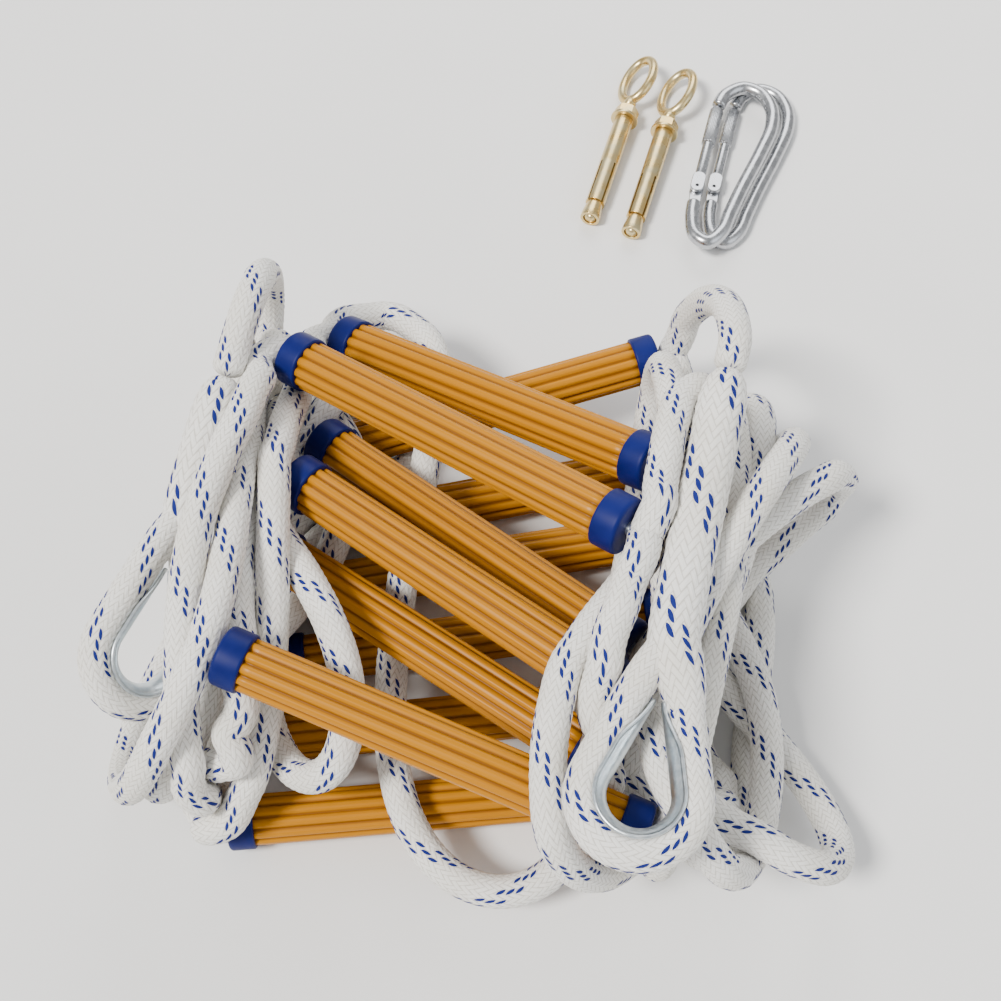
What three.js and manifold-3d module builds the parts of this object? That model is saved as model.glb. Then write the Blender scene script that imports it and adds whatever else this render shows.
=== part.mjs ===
// Escape rope ladder, folded into a hank and laid on the floor, with its two expansion eye bolts and two snap hooks.
// Millimetres, +Z up. The strands of the hank run along Y and the rungs lie roughly along X.
// The origin is on the floor, under the middle of everything but the ropes.
import * as THREE from 'three';
import { mergeVertices } from 'three/addons/utils/BufferGeometryUtils.js';
import Module from 'manifold-3d';

const wasm = await Module();
wasm.setup();

// Driving dimensions
const GAP = 0.3; // between two pieces that touch
const ROPE_R = 10;
const TUBE_R = 9.3; // of the faceted tubes that stand for the two side ropes
const RUNG_PITCH = 410; // along the rope, from one rung to the next
const RUNG_LENGTH = 250; // over both collars
const RIB_R = 15.5; // over the rung's lengthwise ribs
const GROOVE_R = 14.2;
const RIBS = 12;
const TENON_R = 12.5; // the rung's turned end inside its collar
const PIN_R = 4; // steel pin that holds the rung in the rope
const PIN_OUT = 18; // how far the pin stands out of the collar
const COLLAR_R = 17.25;
const COLLAR_LENGTH = 16;
const COLLAR_WALL = 2.5;
const ROPE_OUT = 11; // from a collar's end face to the middle of the rope
const EYE_R = 29; // middle of the rope round a thimble
const THROAT = 72; // from the eye's centre to where its legs meet
const SPLICE_R = 14.5;
const SPLICE_TAPER = 24; // length over which it thickens
const KNUCKLE_R = 9.5; // the rounded end on which an eye swings
const THIMBLE_WALL = 2;
const THIMBLE_END = 13.4; // from the eye's middle line to the end of a thimble's leg, at the rope's middle
const ORIGIN = new THREE.Vector3(-1.6, 181.4, 0); // of the finished frame, in the coordinates used below

// Expansion eye bolts: an eye on a threaded shank, then nut, washer, split sleeve and cone nut.
// Starts are measured from the eye's centre.
const SHANK_R = 5;
const BORE_R = SHANK_R + GAP;
const EYE_WIRE_R = 3.75;
const EYE_HALF_WIDTH = 14.25; // to the middle of the wire
const EYE_HALF_LENGTH = 22;
const NUT_START = 34;
const WASHER_START = 42.3;
const SLEEVE_START = 45.1;
const CONE_START = 133.4;
const NUT_R = 9.8; // over the corners
const NUT_LENGTH = 8;
const WASHER_R = 11;
const WASHER_LENGTH = 2.5;
const SLEEVE_R = 7.5;
const SLEEVE_LENGTH = 88;
const SLOT_LENGTH = 40;
const SLOT_WIDTH = 1.6;
const CONE_LENGTH = 15;
const BOLT_TURN = 253; // of the shank in plan, in degrees from +X
const BOLTS = [[112, 517], [143, 503]]; // each eye's centre, in plan

// Snap hooks: pear-shaped, of bent wire, with a sprung gate on one side
const WIRE_R = 5.5;
const HOOK_BEND = [
  [-13.5, 147], [-9, 161], [4.5, 172], [19, 168], [29, 153], [31, 133], [24.5, 101], [15.5, 67], [9, 39],
  [4.5, 19], [-4.5, 8], [-14.5, 13], [-19, 29], [-19.5, 46],
];
const GATE_PIVOT = [-19.2, 58];
const GATE_TIP = [-13.6, 145.3];
const GATE_R = 4.2;
const GRIP_R = 5.4;
const GRIP_LENGTH = 40;
const TONGUE_THICKNESS = 4;
const KNUCKLE = 5.2; // outer radius of the gate's fork round its rivet
const RIVET_R = 2;
const HOOK_TURN = -11; // in plan, in degrees from +Y
const HOOKS = [
  { at: [159, 336], height: 3 * WIRE_R + GAP },
  { at: [174, 345], height: WIRE_R },
];

// Rungs from the ladder's top end: left end, turn to the right in plan and rise, in degrees
const RUNGS = [
  { left: [-134, 140, 38], turn: -15, rise: 6 },
  { left: [-153, -52, 146], turn: 22, rise: -6 },
  { left: [-130, 95, COLLAR_R], turn: -12, rise: 0 },
  { left: [-143, 50, 79], turn: 36, rise: 4 },
  { left: [-135, 50, COLLAR_R], turn: -10, rise: 0 },
  { left: [-125, 78, 116], turn: 38, rise: 5 },
  { left: [-140, 0, COLLAR_R], turn: -8, rise: 0 },
  { left: [-115, 125, 84], turn: 40, rise: 7 },
  { left: [-150, -52, COLLAR_R], turn: -6, rise: 0 },
  { left: [-130, 155, 135], turn: 35.6, rise: 9 },
  { left: [-164, -105, COLLAR_R], turn: -5, rise: 0 },
  { left: [-105, 205, 84], turn: 35.7, rise: 16 },
];

// Each rope's way points, chosen by eye: one list from the eye's pivot to rung 1, one from each rung to the next,
// and the tail. The rope is pinned at the rungs, and settle() lays the rest.
const SIDES = {
  left: {
    eye: { centre: [-208, -32, 100], pivot: [-166, 128, 152], tilt: -45 },
    ways: [
      [[-153, 168, 165], [-136, 200, 160], [-126, 222, 130], [-140, 215, 85], [-148, 190, 50]],
      [[-178, 60, 14], [-192, -20, 12], [-200, -85, 22], [-202, -118, 55], [-196, -90, 95]],
      [[-160, 30, 122], [-150, 110, 118], [-128, 190, 110], [-118, 218, 78], [-125, 185, 35]],
      [[-168, 40, 12], [-174, -10, 12], [-184, -75, 20], [-182, -108, 52], [-176, -75, 82], [-166, -10, 82]],
      [[-146, 120, 72], [-150, 190, 80], [-160, 225, 55], [-165, 190, 25], [-160, 110, 14]],
      [[-165, -5, 34], [-150, -70, 45], [-142, -120, 72], [-146, -80, 108], [-144, 20, 108]],
      [[-128, 150, 100], [-105, 205, 60], [-95, 215, 40], [-110, 150, 40], [-130, 60, 45]],
      [[-140, -40, 50], [-110, -85, 50], [-95, -118, 75], [-98, -80, 110], [-100, -20, 118], [-108, 60, 92]],
      [[-112, 180, 85], [-80, 215, 60], [-60, 190, 45], [-90, 100, 50], [-130, 0, 55]],
      [[-168, -90, 45], [-165, -122, 75], [-163, -80, 112], [-158, 20, 150], [-150, 100, 150]],
      [[-120, 210, 115], [-100, 240, 80], [-80, 200, 50], [-86, 110, 62], [-112, 0, 60], [-160, -60, 50]],
      [[-178, -145, 20], [-150, -150, 50], [-130, -110, 90], [-125, 0, 140], [-118, 100, 150]],
    ],
    tail: [
      [-100, 235, 100], [-80, 235, 70], [-60, 190, 62], [-60, 100, 62], [-70, 15, 64], [-50, -40, 64],
      [-33, -95, 55], [-15, -140, 30], [12, -160, 22], [30, -140, 35], [34, -90, 50], [34, -30, 60], [40, 30, 62],
    ],
  },
  right: {
    eye: { centre: [70, -140, 166], pivot: [133, 112, 181], tilt: 0 },
    ways: [
      [[143, 138, 184], [147, 158, 168], [146, 168, 140], [140, 178, 105], [134, 190, 70]],
      [[150, 120, 60], [130, 20, 50], [110, -100, 30], [103, -175, 40], [100, -190, 80]],
      [[95, -100, 120], [130, 0, 130], [148, 110, 140], [150, 190, 130], [155, 215, 80], [140, 190, 30]],
      [[140, 60, 14], [135, -60, 14], [130, -140, 22], [128, -175, 52], [110, -150, 95]],
      [[90, -40, 120], [140, 60, 120], [172, 165, 120], [180, 195, 90], [165, 160, 40], [140, 120, 18]],
      [[150, 30, 34], [155, -80, 30], [150, -150, 45], [150, -170, 75], [120, -140, 120]],
      [[110, -20, 140], [160, 80, 130], [200, 150, 125], [208, 168, 90], [180, 130, 40], [140, 70, 16]],
      [[160, -30, 20], [176, -100, 25], [172, -140, 60], [150, -120, 105]],
      [[130, 20, 130], [190, 70, 120], [236, 110, 90], [238, 115, 50], [190, 60, 20], [140, 0, 16]],
      [[125, -90, 35], [90, -150, 35], [82, -181, 60], [80, -160, 104], [76, -100, 140], [76, -40, 158]],
      [[100, 80, 165], [130, 180, 150], [142, 218, 120], [130, 190, 70], [120, 60, 70], [115, -40, 50]],
      [[60, -130, 30], [25, -160, 50], [25, -165, 90], [30, -125, 146], [41, -70, 158], [56, -20, 150],
        [76, 20, 140]],
    ],
    tail: [[115, 130, 150], [128, 175, 125], [120, 160, 85], [100, 110, 70], [85, 60, 60], [70, 10, 55]],
  },
};

// How settle() lays a rope: like a chain of short stiff links that bends gently and sinks until it touches
const LINK = 10; // length of a link
const LAY_STEPS = 520;
const SINK_STEPS = 400;
const SOFT_STEPS = 380; // after these the rope hardly bends any more and only gives way to what it touches
const SINK = 0.06;
const BEND_NEAR = 0.1125;
const BEND_FAR = 0.04;
const BEND_REACH = 3; // links
const LATE_BEND = 0.12;
const STRAND_GAP = 2 * ROPE_R + 0.6;
const PAIR_STEPS = 10; // how often the list of strands that lie close is made again
const PAIR_REACH = 15;
const RUNG_GAP = ROPE_R + 0.7;
const FLOOR_GAP = ROPE_R + 0.2;
const PULL_SWEEPS = 6;

const vec = (p) => new THREE.Vector3(...p);

function rungFrame({ left, turn, rise }) {
  const a = THREE.MathUtils.degToRad(turn);
  const b = THREE.MathUtils.degToRad(rise);
  const along = new THREE.Vector3(Math.cos(b) * Math.cos(a), -Math.cos(b) * Math.sin(a), Math.sin(b));
  const start = vec(left);
  return { start, end: start.clone().addScaledVector(along, RUNG_LENGTH), along };
}

const FRAMES = RUNGS.map(rungFrame);

function ropeHole(frame, side) {
  const out = side === 'left' ? -ROPE_OUT : RUNG_LENGTH + ROPE_OUT;
  return frame.start.clone().addScaledVector(frame.along, out);
}

// An eye's own axes: back runs from its centre to its pivot, across lies in its plane, through is its normal.
function eyeFrame({ centre, pivot, tilt }) {
  const middle = vec(centre);
  const back = vec(pivot).sub(middle);
  const length = back.length();
  back.normalize();
  const level = new THREE.Vector3().crossVectors(back, new THREE.Vector3(0, 0, 1)).normalize();
  const up = new THREE.Vector3().crossVectors(level, back);
  const a = THREE.MathUtils.degToRad(tilt);
  const across = level.clone().multiplyScalar(Math.cos(a)).addScaledVector(up, Math.sin(a));
  const through = new THREE.Vector3().crossVectors(across, back);
  return { middle, back, across, through, length };
}

// ---- ropes ----

function evenly(points, count) {
  const run = [0];
  for (let i = 1; i < points.length; i++) run.push(run[i - 1] + points[i].distanceTo(points[i - 1]));
  const out = [];
  let k = 1;
  for (let i = 0; i <= count; i++) {
    const at = (run[run.length - 1] * i) / count;
    while (k < run.length - 1 && run[k] < at) k++;
    const share = (at - run[k - 1]) / (run[k] - run[k - 1]);
    out.push(points[k - 1].clone().lerp(points[k], share));
  }
  return out;
}

const lengthOf = (points) => points.slice(1).reduce((sum, p, i) => sum + p.distanceTo(points[i]), 0);

// The rope's first guess: a smooth curve through its way points, with the same number of links between all rungs.
function roughRoute(name) {
  const side = SIDES[name];
  const knots = [];
  const rungKnots = [];
  const first = vec(side.eye.pivot);
  knots.push(first);
  side.ways.forEach((way, k) => {
    way.forEach((p) => knots.push(vec(p)));
    rungKnots.push(knots.length);
    knots.push(ropeHole(FRAMES[k], name));
  });
  side.tail.forEach((p) => knots.push(vec(p)));
  const fine = 40;
  const curve = new THREE.CatmullRomCurve3(knots, false, 'centripetal');
  const dense = curve.getPoints(fine * (knots.length - 1));
  const points = [];
  const pinned = [0, 1, 2];
  let from = 0;
  for (const [k, knot] of rungKnots.entries()) {
    const stretch = dense.slice(from, fine * knot + 1);
    const links = k === 0 ? Math.round(lengthOf(stretch) / LINK) : RUNG_PITCH / LINK;
    points.push(...evenly(stretch, links).slice(0, -1));
    pinned.push(points.length);
    from = fine * knot;
  }
  const tail = dense.slice(from);
  points.push(...evenly(tail, Math.round(lengthOf(tail) / LINK)));
  const { back } = eyeFrame(side.eye);
  for (const i of [0, 1, 2]) points[i] = first.clone().addScaledVector(back, i * LINK);
  return { points, pinned };
}

function bend(points, reach, amount) {
  const moves = points.map((p, i) => {
    if (i < 2 * reach || i >= points.length - 2 * reach) return null;
    return points[i - 2 * reach].clone().add(points[i + 2 * reach]).addScaledVector(points[i - reach], -4)
      .addScaledVector(points[i + reach], -4).addScaledVector(p, 6);
  });
  moves.forEach((m, i) => m && points[i].addScaledVector(m, -amount));
}

// Pairs of links, at least four apart along the rope, that are near enough to touch soon.
function closePairs(points) {
  const pairs = [];
  for (let i = 0; i < points.length; i++) {
    for (let j = i + 4; j < points.length; j++) {
      if (points[i].distanceTo(points[j]) < STRAND_GAP + PAIR_REACH) pairs.push([i, j]);
    }
  }
  return pairs;
}

function partStrands(points, pairs) {
  const moves = new Map();
  const move = (i, v) => moves.set(i, (moves.get(i) ?? new THREE.Vector3()).add(v));
  for (const [i, j] of pairs) {
    const apart = points[i].clone().sub(points[j]);
    const gap = apart.length();
    if (gap >= STRAND_GAP) continue;
    apart.multiplyScalar((STRAND_GAP - gap) / 4 / gap);
    move(i, apart);
    move(j, apart.clone().negate());
  }
  moves.forEach((v, i) => points[i].add(v));
}

// Keeps the rope off the eye that lies on it. Its own first links, which belong to the eye, are left alone.
function clearEye(points, eyeBalls) {
  const own = 6;
  for (let i = own; i < points.length; i++) {
    const push = new THREE.Vector3();
    for (const { at, radius } of eyeBalls) {
      const gap = points[i].distanceTo(at);
      const wanted = radius + ROPE_R + 0.3;
      if (gap < wanted) push.addScaledVector(points[i].clone().sub(at), ((wanted - gap) * 0.3) / gap);
    }
    points[i].add(push);
  }
}

function clearRung(points, { start, along }) {
  const middle = start.clone().addScaledVector(along, RUNG_LENGTH / 2);
  for (const p of points) {
    const from = p.clone().sub(middle);
    const axial = from.dot(along);
    const radial = from.addScaledVector(along, -axial);
    const out = radial.length();
    const radius = Math.abs(axial) > RUNG_LENGTH / 2 - COLLAR_LENGTH - ROPE_R ? COLLAR_R : RIB_R + 0.2;
    const past = Math.max(Math.abs(axial) - RUNG_LENGTH / 2, 0);
    const over = Math.max(out - radius, 0);
    const gap = Math.hypot(past, over);
    if (gap >= RUNG_GAP) continue;
    const share = 0.7;
    if (gap === 0) {
      p.addScaledVector(radial, (share * (RUNG_GAP + radius - out)) / out);
    } else {
      const push = radial.multiplyScalar(over / out).addScaledVector(along, Math.sign(axial) * past);
      p.addScaledVector(push, (share * (RUNG_GAP - gap)) / gap);
    }
  }
}

function pullLinks(points, pinned, places) {
  for (let sweep = 0; sweep < PULL_SWEEPS; sweep++) {
    for (const first of [0, 1]) {
      for (let i = first; i + 1 < points.length; i += 2) {
        const link = points[i + 1].clone().sub(points[i]);
        const length = link.length();
        link.multiplyScalar((length - LINK) / 2 / length);
        points[i].add(link);
        points[i + 1].sub(link);
      }
      pinned.forEach((p, k) => points[p].copy(places[k]));
    }
  }
}

// Lays a rope: it keeps its length and its place at the rungs, and comes to lie on and beside what is there.
function settle({ points, pinned }, eyeBalls) {
  const places = pinned.map((i) => points[i].clone());
  let pairs = [];
  for (let step = 0; step < LAY_STEPS; step++) {
    const soft = step < SOFT_STEPS ? 1 : LATE_BEND;
    const sink = SINK * Math.max(0, 1 - step / SINK_STEPS);
    points.forEach((p) => { p.z -= sink; });
    bend(points, 1, soft * BEND_NEAR);
    bend(points, BEND_REACH, soft * BEND_FAR);
    clearEye(points, eyeBalls);
    if (step % PAIR_STEPS === 0) pairs = closePairs(points);
    partStrands(points, pairs);
    FRAMES.forEach((frame) => clearRung(points, frame));
    points.forEach((p) => { p.z = Math.max(p.z, FLOOR_GAP); });
    pullLinks(points, pinned, places);
  }
  return points;
}

// Points of the loop round a thimble, across and back from the eye's centre
function loopArc() {
  const steps = 14;
  const past = 0.28; // radians that the rope follows the thimble past half a turn, at each side
  return Array.from({ length: steps + 1 }, (_, i) => {
    const a = Math.PI - past + ((Math.PI + 2 * past) * i) / steps;
    return [EYE_R * Math.cos(a), EYE_R * Math.sin(a)];
  });
}

function inEye(eye, flat) {
  const { middle, back, across } = eyeFrame(eye);
  return flat.map(([x, y]) => middle.clone().addScaledVector(across, x).addScaledVector(back, y));
}

// The eye's rope: along the splice from the pivot, round the thimble and back into the splice.
function eyeRoute(eye) {
  const { length } = eyeFrame(eye);
  return inEye(eye, [
    [0, length], [0, THROAT + 20], [-4, THROAT + 8], [-10, THROAT - 6], ...loopArc(), [10, THROAT - 6],
    [5, THROAT + 14],
  ]);
}

function spliceRadius(fromPivot) {
  return KNUCKLE_R + (SPLICE_R - KNUCKLE_R) * Math.min(fromPivot / SPLICE_TAPER, 1);
}

// Balls that fill an eye's splice, loop and thimble, for the strands beneath to keep clear of
function eyeBalls(eye) {
  const { middle, length } = eyeFrame(eye);
  const pivot = vec(eye.pivot);
  const route = eyeRoute(eye);
  const spacing = 6;
  const room = 0.5;
  const cord = evenly(route, Math.round(lengthOf(route) / spacing)).map((at, i) => {
    const fromPivot = at.distanceTo(pivot);
    const spliced = i * spacing < length - THROAT + spacing && at.distanceTo(middle) > THROAT;
    return { at, radius: room + (spliced ? spliceRadius(fromPivot) : ROPE_R) };
  });
  const lip = inEye(eye, loopArc().map(([x, y]) => [0.7 * x, 0.7 * y])).map((at) => ({ at, radius: 11.5 }));
  const knuckle = 8;
  return [...cord.filter(({ at }) => at.distanceTo(pivot) > knuckle), ...lip];
}

// ---- solids ----

// A closed solid swept along points. sectionAt(i) gives the outline as [normal, across] pairs.
function sweep(points, sectionAt, normal, closed = false) {
  const positions = [];
  const indices = [];
  const last = points.length - 1;
  const up = normal.clone();
  let sides = 0;
  points.forEach((p, i) => {
    const before = points[i > 0 ? i - 1 : closed ? last : 0];
    const after = points[i < last ? i + 1 : closed ? 0 : last];
    const tangent = p.clone().sub(before).normalize().add(after.clone().sub(p).normalize()).normalize();
    up.addScaledVector(tangent, -up.dot(tangent)).normalize();
    const across = new THREE.Vector3().crossVectors(tangent, up);
    const outline = sectionAt(i);
    sides = outline.length;
    for (const [x, y] of outline) {
      positions.push(...p.clone().addScaledVector(up, x).addScaledVector(across, y).toArray());
    }
  });
  const quads = closed ? points.length : last;
  for (let i = 0; i < quads; i++) {
    const next = (i + 1) % points.length;
    for (let k = 0; k < sides; k++) {
      const a = i * sides + k;
      const b = i * sides + ((k + 1) % sides);
      const c = next * sides + k;
      const d = next * sides + ((k + 1) % sides);
      indices.push(a, b, d, a, d, c);
    }
  }
  if (!closed) {
    const caps = THREE.ShapeUtils.triangulateShape(sectionAt(0).map(([x, y]) => new THREE.Vector2(x, y)), []);
    for (const [a, b, c] of caps) indices.push(a, c, b);
    const end = THREE.ShapeUtils.triangulateShape(sectionAt(last).map(([x, y]) => new THREE.Vector2(x, y)), []);
    for (const [a, b, c] of end) indices.push(last * sides + a, last * sides + b, last * sides + c);
  }
  const geometry = new THREE.BufferGeometry();
  geometry.setAttribute('position', new THREE.Float32BufferAttribute(positions, 3));
  geometry.setIndex(indices);
  return geometry;
}

const circle = (radius, sides) => Array.from({ length: sides }, (_, k) => {
  const a = (2 * Math.PI * k) / sides;
  return [radius * Math.cos(a), radius * Math.sin(a)];
});

// A solid of revolution about +Y from a closed profile of [radius, height] pairs.
function turned(profile, segments) {
  const outline = [...profile, profile[0]].map(([r, y]) => new THREE.Vector2(r, y));
  return new THREE.LatheGeometry(outline, segments);
}

function prism(outline, length, hole = null) {
  const shape = new THREE.Shape(outline.map(([x, y]) => new THREE.Vector2(x, y)));
  if (hole) shape.holes.push(new THREE.Path(hole.map(([x, y]) => new THREE.Vector2(x, y)).reverse()));
  return new THREE.ExtrudeGeometry(shape, { depth: length, bevelEnabled: false });
}

function asManifold(geometry) {
  const plain = geometry.clone();
  plain.deleteAttribute('normal');
  plain.deleteAttribute('uv');
  const welded = mergeVertices(plain, 1e-4);
  const corners = welded.index.array;
  const kept = [];
  for (let i = 0; i < corners.length; i += 3) {
    const [a, b, c] = corners.slice(i, i + 3);
    if (a !== b && b !== c && c !== a) kept.push(a, b, c);
  }
  return new wasm.Manifold(new wasm.Mesh({
    numProp: 3,
    vertProperties: new Float32Array(welded.attributes.position.array),
    triVerts: new Uint32Array(kept),
  }));
}

function asGeometry(manifold) {
  const { vertProperties, triVerts } = manifold.getMesh();
  const geometry = new THREE.BufferGeometry();
  geometry.setAttribute('position', new THREE.BufferAttribute(new Float32Array(vertProperties), 3));
  geometry.setIndex(new THREE.BufferAttribute(new Uint32Array(triVerts), 1));
  return geometry;
}

const joined = (...pieces) => asGeometry(pieces.map(asManifold).reduce((a, b) => a.add(b)));
const cut = (piece, ...tools) => asGeometry(tools.map(asManifold).reduce((a, b) => a.subtract(b), asManifold(piece)));

// A cylinder between two points.
function rod(from, to, radius, sides) {
  const geometry = new THREE.CylinderGeometry(radius, radius, from.distanceTo(to), sides);
  const turn = new THREE.Quaternion().setFromUnitVectors(
    new THREE.Vector3(0, 1, 0), to.clone().sub(from).normalize());
  return geometry.applyQuaternion(turn).translate(...from.clone().lerp(to, 0.5).toArray());
}

// ---- rungs ----

// Maps +Y onto the rung's length, so that +Z stays as upright as it can.
function rungPlace({ start, along }) {
  const level = new THREE.Vector3().crossVectors(along, new THREE.Vector3(0, 0, 1)).normalize();
  const up = new THREE.Vector3().crossVectors(level, along);
  return new THREE.Matrix4().makeBasis(level, along, up).setPosition(start);
}

function rungSolid(frame) {
  const outline = [];
  for (let k = 0; k < 2 * RIBS; k++) {
    const a = (Math.PI * k) / RIBS;
    const r = k % 2 ? GROOVE_R : RIB_R;
    outline.push([r * Math.cos(a), r * Math.sin(a)]);
  }
  const bare = COLLAR_LENGTH + GAP;
  const bar = prism(outline, RUNG_LENGTH - 2 * bare).translate(0, 0, bare).rotateX(-Math.PI / 2);
  const tenonEnd = COLLAR_WALL + 2 * GAP;
  const tenons = turned([
    [0, tenonEnd], [TENON_R, tenonEnd], [TENON_R, RUNG_LENGTH - tenonEnd], [0, RUNG_LENGTH - tenonEnd],
  ], 10);
  const pins = turned([
    [0, -PIN_OUT], [PIN_R, -PIN_OUT], [PIN_R, RUNG_LENGTH + PIN_OUT], [0, RUNG_LENGTH + PIN_OUT],
  ], 8);
  return joined(bar, tenons, pins).applyMatrix4(rungPlace(frame));
}

// A cap that closes over the rung's end, with a softened outer rim
function collarSolid(frame, farEnd) {
  const soft = 2.5;
  const bore = TENON_R + GAP;
  const hole = PIN_R + GAP;
  const cap = turned([
    [hole, 0], [COLLAR_R - soft, 0], [COLLAR_R, soft], [COLLAR_R, COLLAR_LENGTH], [bore, COLLAR_LENGTH],
    [bore, COLLAR_WALL], [hole, COLLAR_WALL],
  ], 10);
  if (farEnd) cap.rotateX(Math.PI).translate(0, RUNG_LENGTH, 0);
  return cap.applyMatrix4(rungPlace(frame));
}

// ---- ropes, eyes and thimbles ----

// Drops the links that a straight stretch doesn't need.
function thinned(points, keep) {
  const tolerance = 1.2;
  const longest = 60;
  const out = [points[0]];
  let from = 0;
  while (from < points.length - 1) {
    let to = from + 1;
    for (let next = to + 1; next < points.length && !keep.has(next - 1); next++) {
      const chord = new THREE.Line3(points[from], points[next]);
      const near = new THREE.Vector3();
      const strays = points.slice(from + 1, next)
        .some((p) => chord.closestPointToPoint(p, true, near).distanceTo(p) > tolerance);
      if (strays || chord.distance() > longest) break;
      to = next;
    }
    out.push(points[to]);
    from = to;
  }
  return out;
}

function ropeSolid(name) {
  const rough = roughRoute(name);
  const laid = settle(rough, eyeBalls(SIDES[name].eye));
  const start = 1;
  const kept = new Set(rough.pinned.map((i) => i - start));
  const points = thinned(laid.slice(start).map((p) => p.clone()), kept);
  points[0].lerp(points[1], 0.05);
  const tube = sweep(points, () => circle(TUBE_R, 8), new THREE.Vector3(0, 0, 1));
  const holes = FRAMES.map(({ start: from, end, along }) => {
    const face = name === 'left' ? from : end;
    const out = name === 'left' ? -1 : 1;
    return rod(face.clone().addScaledVector(along, out * -2), face.clone().addScaledVector(along,
      out * (PIN_OUT + GAP)), PIN_R + 2 * GAP, 8);
  });
  return cut(tube, ...holes);
}

// The loop and the fat splice behind it, which ends in a knuckle round the pivot
function eyeSolid(eye) {
  const { back, through, length } = eyeFrame(eye);
  const pivot = vec(eye.pivot);
  const behind = (distance) => pivot.clone().addScaledVector(back, -distance);
  const cord = sweep([behind(14), ...eyeRoute(eye).slice(1)], () => circle(ROPE_R, 8), through);
  const spliceEnd = length - THROAT + 2;
  const rings = [
    [-0.87 * KNUCKLE_R, 0.5 * KNUCKLE_R], [-0.5 * KNUCKLE_R, 0.87 * KNUCKLE_R], [0, KNUCKLE_R],
    [SPLICE_TAPER, SPLICE_R], [spliceEnd - 20, SPLICE_R], [spliceEnd, SPLICE_R - 2],
  ];
  const splice = sweep(rings.map(([distance]) => behind(distance)), (i) => circle(rings[i][1], 12), through);
  return joined(cord, splice);
}

// Part of a pipe's wall, wrapped round the inner side of the rope's loop
function thimbleSolid(eye) {
  const arc = loopArc();
  const [x, y] = arc[arc.length - 1];
  const legEnd = y + ((x - THIMBLE_END) / (x - 10)) * (THROAT - 6 - y);
  const path = inEye(eye, [[-THIMBLE_END, legEnd], ...arc, [THIMBLE_END, legEnd]]);
  const inner = ROPE_R + 2 * GAP;
  const outer = inner + THIMBLE_WALL;
  const steps = 4;
  const reach = THREE.MathUtils.degToRad(62);
  const angles = Array.from({ length: steps + 1 }, (_, k) => -reach + (2 * reach * k) / steps);
  const section = [
    ...angles.map((a) => [outer * Math.sin(a), -outer * Math.cos(a)]),
    ...angles.reverse().map((a) => [inner * Math.sin(a), -inner * Math.cos(a)]),
  ];
  return sweep(path, () => section, eyeFrame(eye).through);
}

// ---- expansion eye bolts: built along +X from the eye's centre ----

function alongX(profile, segments) {
  return turned(profile, segments).rotateZ(-Math.PI / 2);
}

const ring = (inner, outer, from, length, segments) => alongX([
  [inner, from], [outer, from], [outer, from + length], [inner, from + length],
], segments);

// The bolt rests on its washer's rim, its cone's rim and the eye's edge.
function boltPlaces([x, y]) {
  const drop = Math.atan2(WASHER_R - SLEEVE_R, CONE_START + CONE_LENGTH - WASHER_START);
  const height = WASHER_R / Math.cos(drop) + WASHER_START * Math.tan(drop) + 0.1;
  const roll = Math.asin((height - EYE_WIRE_R) / EYE_HALF_WIDTH);
  const place = new THREE.Matrix4().makeTranslation(x, y, height)
    .multiply(new THREE.Matrix4().makeRotationZ(THREE.MathUtils.degToRad(BOLT_TURN)))
    .multiply(new THREE.Matrix4().makeRotationY(drop));
  const rolled = place.clone().multiply(new THREE.Matrix4().makeRotationX(roll));
  return { place, rolled };
}

function boltEyeSolid() {
  const steps = 20;
  const loop = Array.from({ length: steps }, (_, i) => {
    const a = (2 * Math.PI * i) / steps;
    return new THREE.Vector3(EYE_HALF_LENGTH * Math.cos(a), EYE_HALF_WIDTH * Math.sin(a), 0);
  });
  const eye = sweep(loop, () => circle(EYE_WIRE_R, 8), new THREE.Vector3(0, 0, 1), true);
  const end = CONE_START + CONE_LENGTH;
  const shank = alongX([[0, EYE_HALF_LENGTH - 1], [SHANK_R, EYE_HALF_LENGTH + 3], [SHANK_R, end], [0, end]], 12);
  return joined(eye, shank);
}

function nutSolid() {
  const hexagon = circle(NUT_R, 6);
  return prism(hexagon, NUT_LENGTH, circle(BORE_R, 12)).rotateY(Math.PI / 2).translate(NUT_START, 0, 0);
}

// The sleeve is split in four from its far end, where the cone spreads it.
function sleeveSolid() {
  const sleeve = ring(BORE_R, SLEEVE_R, SLEEVE_START, SLEEVE_LENGTH, 16);
  const middle = SLEEVE_START + SLEEVE_LENGTH - SLOT_LENGTH / 2 + 1;
  const slots = [0, Math.PI / 2].map((turn) => new THREE.BoxGeometry(SLOT_LENGTH + 2, SLOT_WIDTH, 3 * SLEEVE_R)
    .rotateX(Math.PI / 4 + turn).translate(middle, 0, 0));
  return cut(sleeve, ...slots);
}

function coneSolid() {
  const end = CONE_START + CONE_LENGTH;
  return alongX([[BORE_R, CONE_START], [BORE_R + 0.9, CONE_START], [SLEEVE_R, end - 4], [SLEEVE_R, end],
    [BORE_R, end]], 16);
}

// ---- snap hooks: built flat, along +Y from the bottom end ----

const flatPoint = ([x, y]) => new THREE.Vector3(x, y, 0);
const upright = new THREE.Vector3(0, 0, 1);

const disc = ([x, y], radius, thickness, sides) => new THREE.CylinderGeometry(radius, radius, thickness, sides)
  .rotateX(Math.PI / 2).translate(x, y, 0);

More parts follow.
